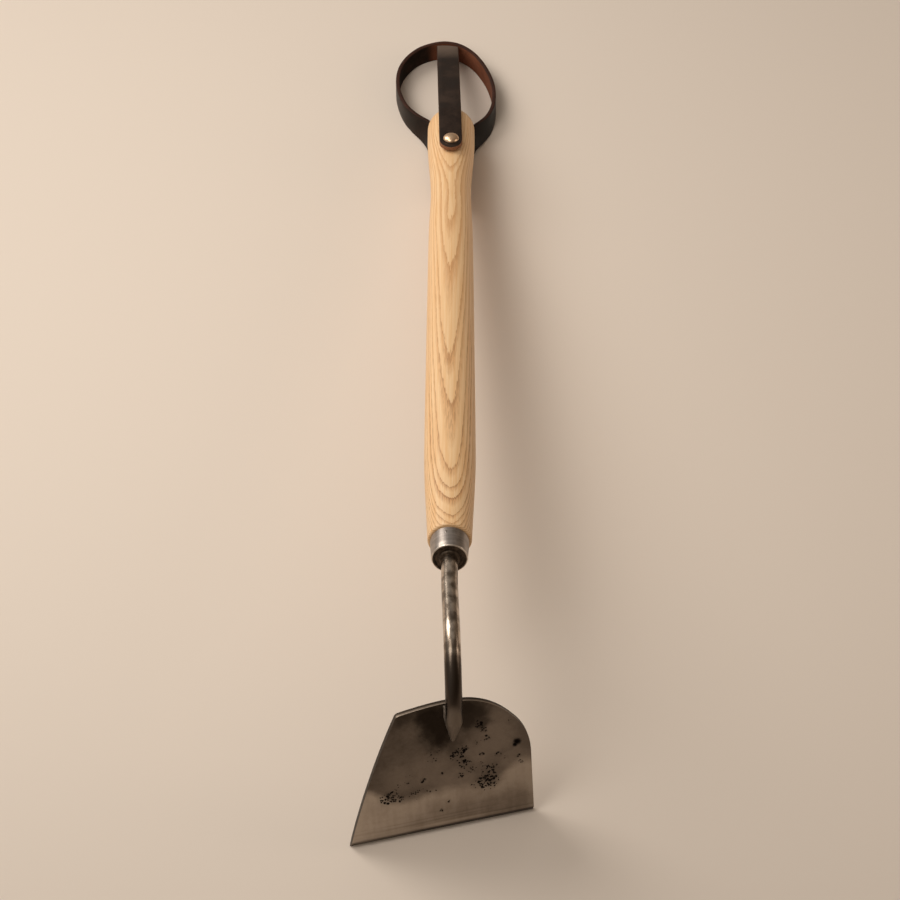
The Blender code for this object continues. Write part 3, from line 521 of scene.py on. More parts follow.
handle_away = Vector((0.0, math.cos(handle_pitch), -math.sin(handle_pitch)))
handle_up = Vector((0.0, math.sin(handle_pitch), math.cos(handle_pitch)))
leather_stack = leg_gap + 2 * strap_thickness + contact_gap
dome_at = handle_reach - flare_radius
dome_height = (flare_radius + leather_stack) / math.cos(handle_pitch) + loop_ground_clearance
ferrule_front = Vector((0.0, ferrule_reach, dome_height + dome_at * math.sin(handle_pitch)))
dome_centre = ferrule_front + handle_away * dome_at
blade_along = blade_frame.col[0].to_3d()
blade_up = blade_frame.col[1].to_3d()
blade_front = blade_frame.col[2].to_3d()
neck_tip_height = blade_height - neck_lap


def neck_corner():
    """Where the bar turns down along the blade's front, set a little over from the handle's axis."""
    level = blade_front_level + contact_gap + rod_radius
    run = (level - ferrule_front.dot(blade_front)) / -handle_away.dot(blade_front)
    return ferrule_front - handle_away * run + blade_along * neck_set_over


def bar_centre_line(steps):
    corner = neck_corner()
    start = ferrule_front + handle_away * tang_length
    down = corner.dot(blade_up) - neck_tip_height
    tip = corner - blade_up * down - blade_along * neck_set_back
    kink = ferrule_front - handle_away * neck_kink_reach
    return [start] + bent_path([kink, corner, tip], [neck_bend_radius], steps)


def bent_path(corners, bends, steps):
    """A polyline whose inner corners are arcs of the given radii."""
    path = [corners[0]]
    for before, corner, after, bend in zip(corners, corners[1:], corners[2:], bends):
        back = (before - corner).normalized()
        ahead = (after - corner).normalized()
        half = back.angle(ahead) / 2
        centre = corner + (back + ahead).normalized() * (bend / math.sin(half))
        first = corner + back * (bend / math.tan(half)) - centre
        last = corner + ahead * (bend / math.tan(half)) - centre
        sweep = first.angle(last)
        for k in range(steps + 1):
            share = k / steps
            spoke = first * math.sin((1 - share) * sweep) + last * math.sin(share * sweep)
            path.append(centre + spoke / math.sin(sweep))
    path.append(corners[-1])
    return path


def even_steps(path, step):
    """The same path with a point about every step."""
    points = [path[0]]
    for near, far in zip(path, path[1:]):
        parts = max(1, round((far - near).length / step))
        for k in range(1, parts + 1):
            points.append(near.lerp(far, k / parts))
    return points


def run_lengths(path):
    reached = [0.0]
    for near, far in zip(path, path[1:]):
        reached.append(reached[-1] + (far - near).length)
    return reached


def headings_of(path):
    found = []
    for k in range(len(path)):
        found.append((path[min(k + 1, len(path) - 1)] - path[max(k - 1, 0)]).normalized())
    return found


def skin_over(rings, slots=None):
    """A closed, smooth skin through rings of points. Slots give each ring segment its finish."""
    skin = bmesh.new()
    loops = [[skin.verts.new(point) for point in ring] for ring in rings]
    count = len(loops[0])
    for near, far in zip(loops, loops[1:]):
        for i in range(count):
            j = (i + 1) % count
            face = skin.faces.new((near[i], near[j], far[j], far[i]))
            face.material_index = slots[i] if slots else 0
    for end in (list(reversed(loops[0])), loops[-1]):
        face = skin.faces.new(end)
        face.material_index = max(slots) if slots else 0
    return skin


def ring_round(centre, side, other, radius, count):
    ring = []
    for k in range(count):
        angle = 2 * math.pi * k / count
        ring.append(centre + side * radius * math.cos(angle) + other * radius * math.sin(angle))
    return ring


def neck_skin():
    path = even_steps(bar_centre_line(40), 1.5 * MM)
    reached = run_lengths(path)
    headings = headings_of(path)
    side = headings[0].cross(headings[-1]).normalized()
    rings = []
    for point, heading, run in zip(path, headings, reached):
        radius = rod_radius
        centre = point
        if run < tang_taper:
            radius = tang_end_radius + (rod_radius - tang_end_radius) * run / tang_taper
        left = reached[-1] - run
        if left < neck_tip_taper:
            share = left / neck_tip_taper
            radius = neck_tip_radius + (rod_radius - neck_tip_radius) * share
            centre = point - blade_front * (rod_radius - radius)
        rings.append(ring_round(centre, side, heading.cross(side).normalized(), radius, 40))
    return skin_over(rings)


def brushed_steel_finish(name, dark, light, smooth, coarse, pore_share, stretch, bands=(), metallic=1.0):
    """Steel brushed along one way, cloudy, with a few dark pores left from the forge. Towards the blade
    it may change in bands: (reach where a band starts, reach where it is full, colour, roughness)."""
    finish, place = new_finish(name)
    cloud = noise(place, (330.0, 120.0, 120.0), 5.0, 0.6)
    grain = noise(place, stretch, 2.0)
    fine = noise(place, 800.0, 2.0, 0.6)
    tone = mapped(plus(cloud, grain), 0.72, 1.28, soft=True)
    colour = blend(tone, dark, light)
    rough = mapped(tone, 0.0, 1.0, coarse, smooth)
    reach = axes_of(place)["Y"]
    for far, near, band_colour, band_roughness in bands:
        share = mapped(reach, far, near, soft=True)
        colour = blend(share, colour, band_colour)
        rough = mapped(share, 0.0, 1.0, rough, band_roughness)
    density = mapped(cloud, 0.55, 0.35, 0.0, pore_share)
    pores = pit_layer(ragged(place, 900.0, 0.8 * MM), density, 620.0, 0.5)
    colour = blend(pores, colour, pore_black)
    rough = mapped(pores, 0.0, 1.0, rough, 0.85)
    return finish_off(finish, colour, rough, plus(grain, fine), 0.12, 0.2 * MM, metallic)


neck_steel = brushed_steel_finish("brushed_neck_steel", neck_dark, neck_light, 0.20, 0.29, 0.08,
                                  (160.0, 160.0, 160.0), neck_bands)
neck = made_piece("neck_bar", neck_skin(), [neck_steel], 50)
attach(neck, "hoe")
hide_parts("neck")

# Blade weld: a fillet of weld metal along both sides of the bar's drawn tip and round its end.
# It is dressed with a file, so it runs smoothly from the bar down to the blade.
fillet_spread = 0.4 * MM
fillet_start_below_top = 1.2 * MM
fillet_climb = math.radians(98.0)
fillet_flare = 0.25 * MM
fillet_sink = 0.05 * MM
weld_dark = (0.095, 0.074, 0.058, 1.0)
weld_light = (0.26, 0.212, 0.172, 1.0)


def fillet_section(radius, spread):
    """Outline across the fillet: out from the bar's middle line, and up from the blade."""
    inner = Vector((radius * 0.35, 0.0))
    foot = Vector((radius * 0.95 + spread, 0.0))
    hold = Vector((radius * math.sin(fillet_climb), radius * (1 - math.cos(fillet_climb))))
    inside = Vector((hold.x * 0.7, hold.y * 0.9))
    bend = Vector((radius * 1.04, 0.20 * radius))
    return [inside, hold] + bezier(hold, hold.lerp(bend, 0.7), foot.lerp(bend, 0.7), foot, 6) + [inner]


def blade_weld_skin():
    corner = blade_frame.to_3x3().transposed() @ neck_corner()
    level = blade_front_level + fillet_sink
    top = blade_height - fillet_start_below_top
    taper_top = neck_tip_height + neck_tip_taper
    slant = neck_set_back / (corner.y - neck_tip_height)

    def ring(up, radius, spread, sideways, downward):
        middle = corner.x - slant * (corner.y - up)
        return [Vector((middle - p.x * sideways, up - p.x * downward, level + p.y))
                for p in fillet_section(radius, spread)]

    side = []
    for k in range(15):
        up = top + (neck_tip_height - top) * k / 14
        share = min(1.0, (up - neck_tip_height) / neck_tip_taper)
        radius = neck_tip_radius + (rod_radius - neck_tip_radius) * share
        flare = fillet_flare * max(0.0, (up - taper_top) / (top - taper_top))**2
        side.append((up, radius, fillet_spread * (0.45 + 0.55 * share) + flare))
    rings = [ring(*place, 1.0, 0.0) for place in side]
    for k in range(1, 12):
        angle = math.pi * k / 12
        rings.append(ring(*side[-1], math.cos(angle), math.sin(angle)))
    rings += [ring(*place, -1.0, 0.0) for place in reversed(side)]
    return skin_over(rings)


weld_steel = brushed_steel_finish("filed_weld_steel", weld_dark, weld_light, 0.5, 0.7, 0.14,
                                  (600.0, 600.0, 600.0), metallic=0.25)
blade_weld = made_piece("blade_weld_fillet", blade_weld_skin(), [weld_steel], 50)
blade_weld.rotation_euler = blade.rotation_euler
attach(blade_weld, "hoe")
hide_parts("blade_weld")

# Ferrule: a tapered steel tube, turned and brushed, its front rim bevelled bright.
# It is pressed on the handle's tenon and closed in front by a disc round the bar.
ferrule_length = 16.5 * MM
ferrule_front_radius = 11.5 * MM
ferrule_back_radius = 12.5 * MM
ferrule_wall = 1.8 * MM
ferrule_rim_round = 0.75 * MM
disc_recess = 0.4 * MM
disc_thickness = 3.0 * MM
seam_tolerance = 0.005 * MM
ferrule_dark = (0.26, 0.228, 0.206, 1.0)
ferrule_light = (0.45, 0.398, 0.366, 1.0)
soot_dark = (0.046, 0.034, 0.025, 1.0)
soot_light = (0.16, 0.120, 0.089, 1.0)
rim_dark = (0.50, 0.43, 0.37, 1.0)
rim_light = (0.74, 0.66, 0.58, 1.0)


def turned_piece(name, profile, facets, finishes, sharp=30):
    """Spin (radius, distance) points about local Z, and add the piece."""
    solid = bmesh.new()
    points = [solid.verts.new((radius, 0.0, along)) for radius, along in profile]
    edges = [solid.edges.new(pair) for pair in zip(points, points[1:])]
    if min(profile[0][0], profile[-1][0]) > 0:
        edges.append(solid.edges.new((points[-1], points[0])))
    bmesh.ops.spin(solid, geom=points + edges, cent=(0, 0, 0), axis=(0, 0, 1), dvec=(0, 0, 0),
                   angle=2 * math.pi, steps=facets, use_merge=True)
    bmesh.ops.remove_doubles(solid, verts=solid.verts, dist=seam_tolerance)
    return made_piece(name, solid, finishes, sharp)


def put_on_handle(piece):
    """Local Z along the handle from the ferrule's front, local Y down."""
    piece.location = ferrule_front
    piece.rotation_euler = (-math.pi / 2 - handle_pitch, 0.0, 0.0)


def ferrule_outside(along):
    return ferrule_front_radius + (ferrule_back_radius - ferrule_front_radius) * along / ferrule_length


def ferrule_inside(along):
    return ferrule_outside(along) - ferrule_wall


ferrule_steel = brushed_steel_finish("brushed_ferrule_steel", ferrule_dark, ferrule_light, 0.31, 0.41, 0.08,
                                     (60.0, 60.0, 1500.0))
dark_steel = brushed_steel_finish("dark_scale_steel", soot_dark, soot_light, 0.40, 0.6, 0.12,
                                  (300.0, 300.0, 300.0))
rim_steel = brushed_steel_finish("filed_rim_steel", rim_dark, rim_light, 0.34, 0.48, 0.0,
                                 (300.0, 300.0, 300.0))
ferrule_profile = [(ferrule_inside(0), 0.0), (ferrule_outside(0) - ferrule_rim_round, 0.0)]
for inset, along in ((0.62, 0.08), (0.29, 0.29), (0.08, 0.62)):
    ferrule_profile.append((ferrule_outside(0) - ferrule_rim_round * inset, ferrule_rim_round * along))
for along in (ferrule_rim_round, ferrule_length * 0.35, ferrule_length * 0.7):
    ferrule_profile.append((ferrule_outside(along), along))
ferrule_profile += [(ferrule_outside(ferrule_length) - 0.1 * MM, ferrule_length - 0.3 * MM),
                    (ferrule_outside(ferrule_length) - 0.4 * MM, ferrule_length),
                    (ferrule_inside(ferrule_length), ferrule_length)]
ferrule = turned_piece("ferrule_tube", ferrule_profile, 96, [ferrule_steel, dark_steel, rim_steel])
for face in ferrule.data.polygons:
    if face.center.z < 0.01 * MM:
        face.material_index = 1
    elif face.center.z < ferrule_rim_round:
        face.material_index = 2
put_on_handle(ferrule)
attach(ferrule, "hoe")
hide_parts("ferrule")

# Ferrule disc and its weld bead: a plain washer inside the ferrule's front, and a thin bead
# that ties the bar to it. Both stay dark and rough, as the brush doesn't reach them.
neck_bead_width = 1.7 * MM
neck_bead_length = 1.5 * MM


def quarter_turn(first, steps):
    """Cosine and sine along a quarter turn, from the first step to the last but one."""
    angles = [math.pi / 2 * k / steps for k in range(first, steps)]
    return [(math.cos(angle), math.sin(angle)) for angle in angles]


disc_back = disc_recess + disc_thickness
disc_profile = [
    (rod_radius + contact_gap, disc_recess),
    (ferrule_inside(disc_recess) - contact_gap, disc_recess),
    (ferrule_inside(disc_back) - contact_gap, disc_back),
    (rod_radius + contact_gap, disc_back),
]
ferrule_disc = turned_piece("ferrule_end_disc", disc_profile, 96, [dark_steel])
put_on_handle(ferrule_disc)
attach(ferrule_disc, "hoe")
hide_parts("ferrule_disc")

bead_base = disc_recess - contact_gap / 3
bead_profile = [(rod_radius - contact_gap, bead_base), (rod_radius + neck_bead_width, bead_base)]
for cosine, sine in quarter_turn(1, 9):
    bead_profile.append((rod_radius + neck_bead_width * cosine**1.3, bead_base - neck_bead_length * sine))
bead_profile.append((rod_radius - contact_gap, bead_base - neck_bead_length))
neck_weld = turned_piece("neck_weld_bead", bead_profile, 72, [dark_steel], 60)
put_on_handle(neck_weld)
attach(neck_weld, "hoe")
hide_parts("neck_weld")

# Ferrule pin: a steel pin through ferrule, tenon and tang, peened and filed almost flush.
# It sits a little to the left of the top.
pin_radius = 1.2 * MM
pin_from_ferrule_back = 4.0 * MM
pin_roll = math.radians(12.0)
pin_dome = 0.4 * MM

pin_reach = ferrule_outside(ferrule_length - pin_from_ferrule_back) - 0.2 * MM
pin_end = [(pin_radius, pin_reach), (pin_radius * 0.85, pin_reach + pin_dome * 0.45),
           (pin_radius * 0.5, pin_reach + pin_dome * 0.85), (0.0, pin_reach + pin_dome)]
pin_profile = [(radius, -along) for radius, along in reversed(pin_end)] + pin_end
pin = turned_piece("ferrule_pin_peened", pin_profile, 32, [ferrule_steel], 60)
pin_place = ferrule_front + handle_away * (ferrule_length - pin_from_ferrule_back)
pin.matrix_world = (Matrix.Translation(pin_place) @ Matrix.Rotation(-pin_roll, 4, handle_away)
                    @ Matrix.Rotation(-handle_pitch, 4, "X"))
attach(pin, "hoe")
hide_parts("ferrule_pin")

# Handle: ash, turned between centres with a swell, a waist and a flared, domed butt.
# It is oiled, so the coarse pores of each year's ring show brown on honey-coloured wood.
shoulder_radius = 14.1 * MM
shoulder_round = 1.6 * MM
swell_at = 102.0 * MM
swell_radius = 16.8 * MM
grip_at = 255.0 * MM
grip_radius = 16.3 * MM
knee_from_butt = 152.0 * MM
knee_radius = 15.75 * MM
waist_from_butt = 102.0 * MM
waist_radius = 14.65 * MM
flare_from_butt = 31.0 * MM
butt_round = 17.0 * MM

ash_pale = (0.87, 0.605, 0.345, 1.0)
ash_honey = (0.81, 0.495, 0.238, 1.0)
ash_tan = (0.60, 0.285, 0.105, 1.0)
ash_pore = (0.25, 0.105, 0.035, 1.0)
# The tree's pith runs below the handle and leans, so the rings run out in arches along the top.
# Each mark is a height over the axis and the year that starts there. Between two marks the years
# are even.
pith_below_axis = 60.0 * MM
pith_lean = 0.025
year_first = -20.0 * MM
year_last = 30.0 * MM
year_count = 36
root_flare_reach = 70.0 * MM
root_flare = 1.33
year_marks = [(12.4 * MM, 25), (14.9 * MM, 26), (16.2 * MM, 27), (17.9 * MM, 28), (20.05 * MM, 29),
              (21.3 * MM, 30), (23.3 * MM, 31), (24.5 * MM, 32), (25.5 * MM, 33), (27.0 * MM, 34)]


def eased(stations, steps):
    """(radius, distance) points through the stations, level at every crest and hollow."""
    slopes = [(stations[1][1] - stations[0][1]) / (stations[1][0] - stations[0][0])]
    for (a, ra), (b, rb), (c, rc) in zip(stations, stations[1:], stations[2:]):
        before = (rb - ra) / (b - a)
        after = (rc - rb) / (c - b)
        slopes.append(0.0 if before * after <= 0 else 2 * before * after / (before + after))
    slopes.append(0.0)
    points = []
    for k in range(len(stations) - 1):
        (a, ra), (b, rb) = stations[k], stations[k + 1]
        span = b - a
        for step in range(steps):
            t = step / steps
            rest = 1 - t
            radius = (ra * (1 + 2 * t) * rest**2 + rb * (3 - 2 * t) * t**2
                      + span * (slopes[k] * t * rest**2 - slopes[k + 1] * rest * t**2))
            points.append((radius, a + span * t))
    points.append((stations[-1][1], stations[-1][0]))
    return points


def handle_profile():
    tenon_start = disc_back + contact_gap
    shoulder = ferrule_length + contact_gap
    profile = [
        (0.0, tang_length + contact_gap + 2 * MM),
        (rod_radius + contact_gap, tang_length + contact_gap),
        (rod_radius + contact_gap, tenon_start),
        (ferrule_inside(tenon_start) - contact_gap, tenon_start),
        (ferrule_inside(ferrule_length) - contact_gap, ferrule_length),
        (ferrule_inside(ferrule_length) - contact_gap, shoulder),
    ]
    for cosine, sine in quarter_turn(0, 6):
        profile.append((shoulder_radius - shoulder_round * (1 - sine),
                        shoulder + shoulder_round * (1 - cosine)))
    profile += eased([
        (shoulder + shoulder_round, shoulder_radius),
        (swell_at, swell_radius),
        (grip_at, grip_radius),
        (handle_reach - knee_from_butt, knee_radius),
        (handle_reach - waist_from_butt, waist_radius),
        (handle_reach - flare_from_butt, flare_radius),
    ], 16)
    for cosine, sine in quarter_turn(0, 16):
        profile.append((flare_radius * cosine, handle_reach - butt_round * (1 - sine)))
    profile.append((0.0, handle_reach))
    return profile


def grey_ramp(value, stops):
    """A curve through (position, level) stops."""
    node = add_node("ValToRGB", {"Fac": value})
    ramp = node.color_ramp
    while len(ramp.elements) > 1:
        ramp.elements.remove(ramp.elements[-1])
    ramp.elements[0].position = stops[0][0]
    ramp.elements[0].color = (stops[0][1], stops[0][1], stops[0][1], 1.0)
    for position, level in stops[1:]:
        ramp.elements.new(position).color = (level, level, level, 1.0)
    return node.outputs[0]


def oiled_ash_finish():
    finish, place = new_finish("oiled_ash")
    axes = axes_of(place)

    # Age of the wood: distance from the leaning pith, flared near the root, swayed, a little ragged
    sway = mapped(noise(place, (60.0, 60.0, 9.0), 2.0), 0.3, 0.7, -0.35 * MM, 0.35 * MM)
    jitter = noise(place, (1500.0, 1500.0, 120.0), 1.0)
    shift = plus(sway, mapped(jitter, 0.3, 0.7, -0.10 * MM, 0.10 * MM))
    from_root = reckon("SUBTRACT", root_flare_reach, axes["Z"], clamp=True)
    flare = times(reckon("POWER", from_root, 2.0), -root_flare)
    lean = plus(times(axes["Z"], pith_lean), flare)
    depth = reckon("SUBTRACT", pith_below_axis, axes["Y"])
    spoke = add_node("CombineXYZ", {"X": axes["X"], "Y": depth}).outputs[0]
    from_pith = add_node("VectorMath", {0: spoke}, operation="LENGTH").outputs["Value"]
    age = plus(plus(reckon("SUBTRACT", from_pith, pith_below_axis), lean), shift)
    span = year_last - year_first
    stops = [(0.0, 0.0)] + [((at - year_first) / span, k / year_count) for at, k in year_marks] + [(1.0, 1.0)]
    year = times(grey_ramp(mapped(age, year_first, year_last), stops), float(year_count))
    season = reckon("FRACT", year)
    character = add_node("TexWhiteNoise", {"W": reckon("FLOOR", year)}, noise_dimensions="1D")
    weight = mapped(character.outputs["Value"], 0.0, 1.0, 0.6, 1.0)

    # Early wood: porous and tan, thickening to a sharp brown line at the year's end
    porous = grey_ramp(season, [(0.0, 0.35), (0.05, 0.06), (0.50, 0.0), (0.72, 0.45), (0.93, 0.85),
                                (1.0, 1.0)])
    porous = times(porous, weight)
    rim = grey_ramp(season, [(0.0, 0.55), (0.04, 0.0), (0.86, 0.0), (0.95, 0.75), (1.0, 0.85)])
    pores = noise(place, (1500.0, 1500.0, 105.0), 2.0, 0.55)
    dashes = times(times(mapped(pores, 0.47, 0.60, soft=True), porous), 0.75)
    rim = times(times(rim, weight), mapped(pores, 0.35, 0.55, 0.35, 1.0))
    strength = mapped(axes["Z"], 110 * MM, 330 * MM, 0.95, 0.20)
    brown = times(reckon("MAXIMUM", dashes, rim), strength)
    fibre = noise(place, (750.0, 750.0, 16.0), 3.0, 0.55)
    wood = blend(mapped(fibre, 0.35, 0.68), ash_pale, ash_honey)
    wood = blend(times(porous, 0.85), wood, ash_tan)
    wood = blend(brown, wood, ash_pore)
    rough = mapped(brown, 0.0, 1.0, 0.44, 0.7)
    relief = plus(times(brown, -1.0), fibre)
    return finish_off(finish, wood, rough, relief, 0.2, 0.2 * MM)


handle = turned_piece("turned_handle", handle_profile(), 96, [oiled_ash_finish()], 40)
put_on_handle(handle)
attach(handle, "hoe")
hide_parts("handle")

# Hanging loop: one strap of harness leather. Both ends lie under the butt, and the rest
# rolls up on its edge into a ring. Black grain faces out, brown flesh faces in.
strap_width = 16.8 * MM
leg_end_margin = 9.6 * MM
butt_rivet_from_butt = 57.9 * MM
rivet_centre = ferrule_front + handle_away * (handle_reach - butt_rivet_from_butt)
strap_level = flare_radius + contact_gap + strap_thickness / 2
edge_round = 0.55 * MM
round_end_shares = (0.0, 0.02, 0.06, 0.12, 0.2, 0.32, 0.46, 0.62, 0.8)
# The finish of each segment of the strap's outline: flesh, edge, grain, edge
strap_section_slots = [1] * 4 + [2] * 5 + [0] * 4 + [2] * 5
# Along the loop: x and the distance past the centre of the butt's dome, in millimetres, and the
# strap's roll in degrees
loop_stations = [
    (-8.8, 1.0, 0.0), (-12.2, 11.0, 30.0), (-18.6, 18.5, 57.0), (-27.0, 26.5, 76.0), (-34.6, 37.5, 86.0),
    (-39.4, 52.0, 90.0), (-41.0, 66.0, 90.0), (-39.2, 79.5, 90.0), (-33.6, 91.5, 90.0),
    (-24.6, 101.3, 90.0), (-13.2, 106.9, 90.0), (-3.0, 108.2, 90.0), (7.4, 104.8, 90.0), (17.6, 95.4, 90.0),
    (26.0, 80.5, 90.0), (31.4, 63.5, 90.0), (32.8, 48.0, 89.0), (31.3, 35.0, 86.0), (27.4, 24.2, 78.0),
    (20.6, 15.6, 62.0), (13.2, 8.6, 36.0), (8.8, 1.0, 0.0),
]
grain_black = (0.008, 0.004, 0.002, 1.0)
grain_brown = (0.025, 0.012, 0.007, 1.0)
grain_shadow = (0.006, 0.004, 0.003, 1.0)
flesh_brown = (0.240, 0.086, 0.044, 1.0)
flesh_dark = (0.120, 0.042, 0.022, 1.0)
flesh_painted_shade = (0.014, 0.008, 0.005, 1.0)
cut_edge_brown = (0.075, 0.029, 0.019, 1.0)
cut_edge_dark = (0.028, 0.013, 0.009, 1.0)


def leg_height(past_dome, layers_down):
    """Height of a leg's middle where it lies flat under the handle."""
    level = flare_radius + leg_gap + strap_thickness / 2 + layers_down * (strap_thickness + contact_gap)
    return dome_height - level / math.cos(handle_pitch) - past_dome * math.tan(handle_pitch)


def standing_height(roll):
    return strap_width / 2 * abs(math.sin(roll)) + strap_thickness / 2 * math.cos(roll)


def through_stations(stations, longest):
    """Smooth interpolation of rows of numbers, the first two being x and y."""
    rows = [stations[0]] + stations + [stations[-1]]
    found = []
    for a, b, c, d in zip(rows, rows[1:], rows[2:], rows[3:]):
        steps = max(1, math.ceil(math.hypot(c[0] - b[0], c[1] - b[1]) / longest))
        for k in range(steps):
            t = k / steps
            row = []
            for p, q, r, s in zip(a, b, c, d):
                row.append(0.5 * (2 * q + (r - p) * t + (2 * p - 5 * q + 4 * r - s) * t**2
                                  + (3 * q - p - 3 * r + s) * t**3))
            found.append(row)
    found.append(list(stations[-1]))
    return found


def leg_rows(joined, rivet_past_dome, layer):
    x, past = joined[:2]
    run = math.hypot(x, past - rivet_past_dome)
    flat_roll = -math.atan(math.tan(handle_pitch) * abs(x) / run)
    rows = []
    for share in (-leg_end_margin / run, 0.0, 0.35, 0.75):
        leg_past = rivet_past_dome + (past - rivet_past_dome) * share
        leg_lift = leg_height(leg_past, layer) - standing_height(flat_roll)
        rows.append([x * share, leg_past, flat_roll, leg_lift])
    return rows


def loop_rows(longest):
    """The strap's middle line and its roll, from one riveted end to the other."""
    rivet_below = rivet_centre - handle_up * (flare_radius + leather_stack / 2)
    rivet_past_dome = rivet_below.y - dome_centre.y
    rows = [[x * MM, past * MM, math.radians(roll), 0.0] for x, past, roll in loop_stations]
    for end, layer in ((0, 0), (-1, 1)):
        past, roll = rows[end][1:3]
        rows[end][3] = leg_height(past, layer) - standing_height(roll)
    rows = leg_rows(rows[0], rivet_past_dome, 0) + rows + leg_rows(rows[-1], rivet_past_dome, 1)[::-1]
    found = []
    for x, past, roll, lift in through_stations(rows, longest):
        height = standing_height(roll) + max(lift, 0.0)
        found.append((Vector((x, dome_centre.y + past, height)), roll))
    return found


def half_width_near_end(from_end):
    """Half width of a strap near an end that is cut to a half round."""
    half = strap_width / 2
    if from_end >= half:
        return half
    return math.sqrt(max(half**2 - (half - from_end)**2, (0.14 * half)**2))


def strap_section(half):
    """Outline across a strap: flesh side, edge, grain side, edge. Offsets across and up."""
    thick = strap_thickness / 2
    rim = min(edge_round, half * 0.5)
    flat = [-1.0, -0.5, 0.0, 0.5, 1.0]
    flesh = [((half - rim) * share, -thick) for share in flat]
    right = [(half - rim * 0.3, -thick + rim * 0.3), (half, -thick + rim), (half, thick - rim),
             (half - rim * 0.3, thick - rim * 0.3)]
    grain = [((half - rim) * share, thick) for share in reversed(flat)]
    left = [(-across, up) for across, up in reversed(right)]
    return flesh + right + grain + left


def hanging_loop_skin():
    rows = loop_rows(1.6 * MM)
    middle = [point for point, roll in rows]
    reached = run_lengths(middle)
    half = strap_width / 2
    first = (middle[4] - middle[0]).normalized()
    last = (middle[-5] - middle[-1]).normalized()
    fine = [(middle[0] + first * half * share, rows[0][1], half * share) for share in round_end_shares]
    for (point, roll), run in zip(rows, reached):
        from_end = min(run, reached[-1] - run)
        if from_end > half * 0.95:
            fine.append((point, roll, from_end))
    for share in reversed(round_end_shares):
        fine.append((middle[-1] + last * half * share, rows[-1][1], half * share))
    rings = []
    for (point, roll, from_end), heading in zip(fine, headings_of([row[0] for row in fine])):
        flat = Vector((heading.x, heading.y, 0.0)).normalized()
        inward = Vector((flat.y, -flat.x, 0.0))
        across = inward * math.cos(roll) + Vector((0, 0, 1)) * math.sin(roll)
        across = (across - heading * across.dot(heading)).normalized()
        grain = across.cross(heading)
        section = strap_section(half_width_near_end(from_end))
        rings.append([point + across * a + grain * b for a, b in section])
    return skin_over(rings, strap_section_slots)


def leather_finish(name, main, second, rough_low, rough_high, nap, shine, colour_shift):
    """Leather with a fine pebbled or napped face, its tone uneven from handling. Along one axis it turns to
    another colour: (axis, from, to, colour). This is painted shade on the loop's grain and flesh and a
    painted sheen on the front strap's grain; the cut edges just turn darker along the axis."""
    finish, place = new_finish(name)
    cloud = noise(place, 60.0, 4.0, 0.6)
    fine = noise(place, 1500.0, 3.0, 0.7)
    pebble = add_node("TexVoronoi", {"Vector": place, "Scale": 1100.0}, feature="SMOOTH_F1")
    tone = mapped(plus(cloud, fine), 0.75, 1.3, soft=True)
    axis, start, full, shift_colour = colour_shift
    along = axes_of(place)[axis]
    wander = mapped(cloud, 0.3, 0.7, -0.15, 0.15)
    share = plus(mapped(along, start, full, soft=True), wander, clamp=True)
    colour = blend(share, blend(tone, main, second), shift_colour)
    rough = mapped(cloud, 0.3, 0.7, rough_low, rough_high)
    relief = plus(mapped(pebble.outputs["Distance"], 0.0, 1.0, 0.0, 1.0 - nap),
                  mapped(fine, 0.0, 1.0, 0.0, nap))
    finish.node_tree.nodes["Principled BSDF"].inputs["Specular IOR Level"].default_value = shine
    return finish_off(finish, colour, rough, relief, 0.3, 0.2 * MM)


# The grain darkens with painted shade towards the right, and the flesh inside the ring towards the left: the
# sides that face away from the light
leather_finishes = [
    leather_finish("black_grain_leather", grain_black, grain_brown, 0.42, 0.56, 0.3, 0.24,
                   ("X", 5 * MM, 30 * MM, grain_shadow)),
    leather_finish("brown_flesh_leather", flesh_dark, flesh_brown, 0.75, 0.9, 0.9, 0.12,
                   ("X", -11 * MM, -20 * MM, flesh_painted_shade)),
    leather_finish("cut_edge_leather", cut_edge_dark, cut_edge_brown, 0.6, 0.8, 0.8, 0.15,
                   ("Y", 640 * MM, 605 * MM, cut_edge_dark)),
]
hanging_loop = made_piece("leather_loop", hanging_loop_skin(), leather_finishes, 50)
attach(hanging_loop, "loop")
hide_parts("hanging_loop")

# Front strap: a second piece of the same leather. It is riveted on top of the butt, slopes
# down to the ring's far wall and is bent down inside it.
strap_end_margin = 11.4 * MM
strap_leave_bend = 60.0 * MM
strap_end_bend = 3.6 * MM
strap_tab_clearance = 2.4 * MM
strap_far_offset = -3.0 * MM
# From here towards the ring the strap's grain is lighter: a painted sheen where it bends down into the ring
sheen_from = dome_centre.y + 78 * MM
strap_painted_sheen = (0.125, 0.088, 0.067, 1.0)
strap_edge_tan = (0.16, 0.070, 0.036, 1.0)
strap_edge_pale = (0.36, 0.165, 0.085, 1.0)
strap_edge_dark = (0.045, 0.022, 0.015, 1.0)


def smooth_share(share):
    share = min(max(share, 0.0), 1.0)
    return share * share * (3 - 2 * share)


wall_line = []
wall_middle = [point for point, roll in loop_rows(1.6 * MM)]
for point, heading in zip(wall_middle, headings_of(wall_middle)):
    wall_line.append(point + Vector((heading.y, -heading.x, 0.0)).normalized() * strap_thickness / 2)
wall_furthest = max(point.y for point in wall_middle)


def wall_inside(at_x):
    """y of the ring's inner face at its far wall, and the way in from there."""
    for near, far in zip(wall_line, wall_line[1:]):
        if near.x <= at_x <= far.x and near.y > wall_furthest - 1.5 * strap_width:
            heading = (far - near).normalized()
            share = (at_x - near.x) / (far.x - near.x)
            return near.lerp(far, share).y, Vector((heading.y, -heading.x, 0.0))
    raise ValueError("the strap's end lies beside the ring's far wall")


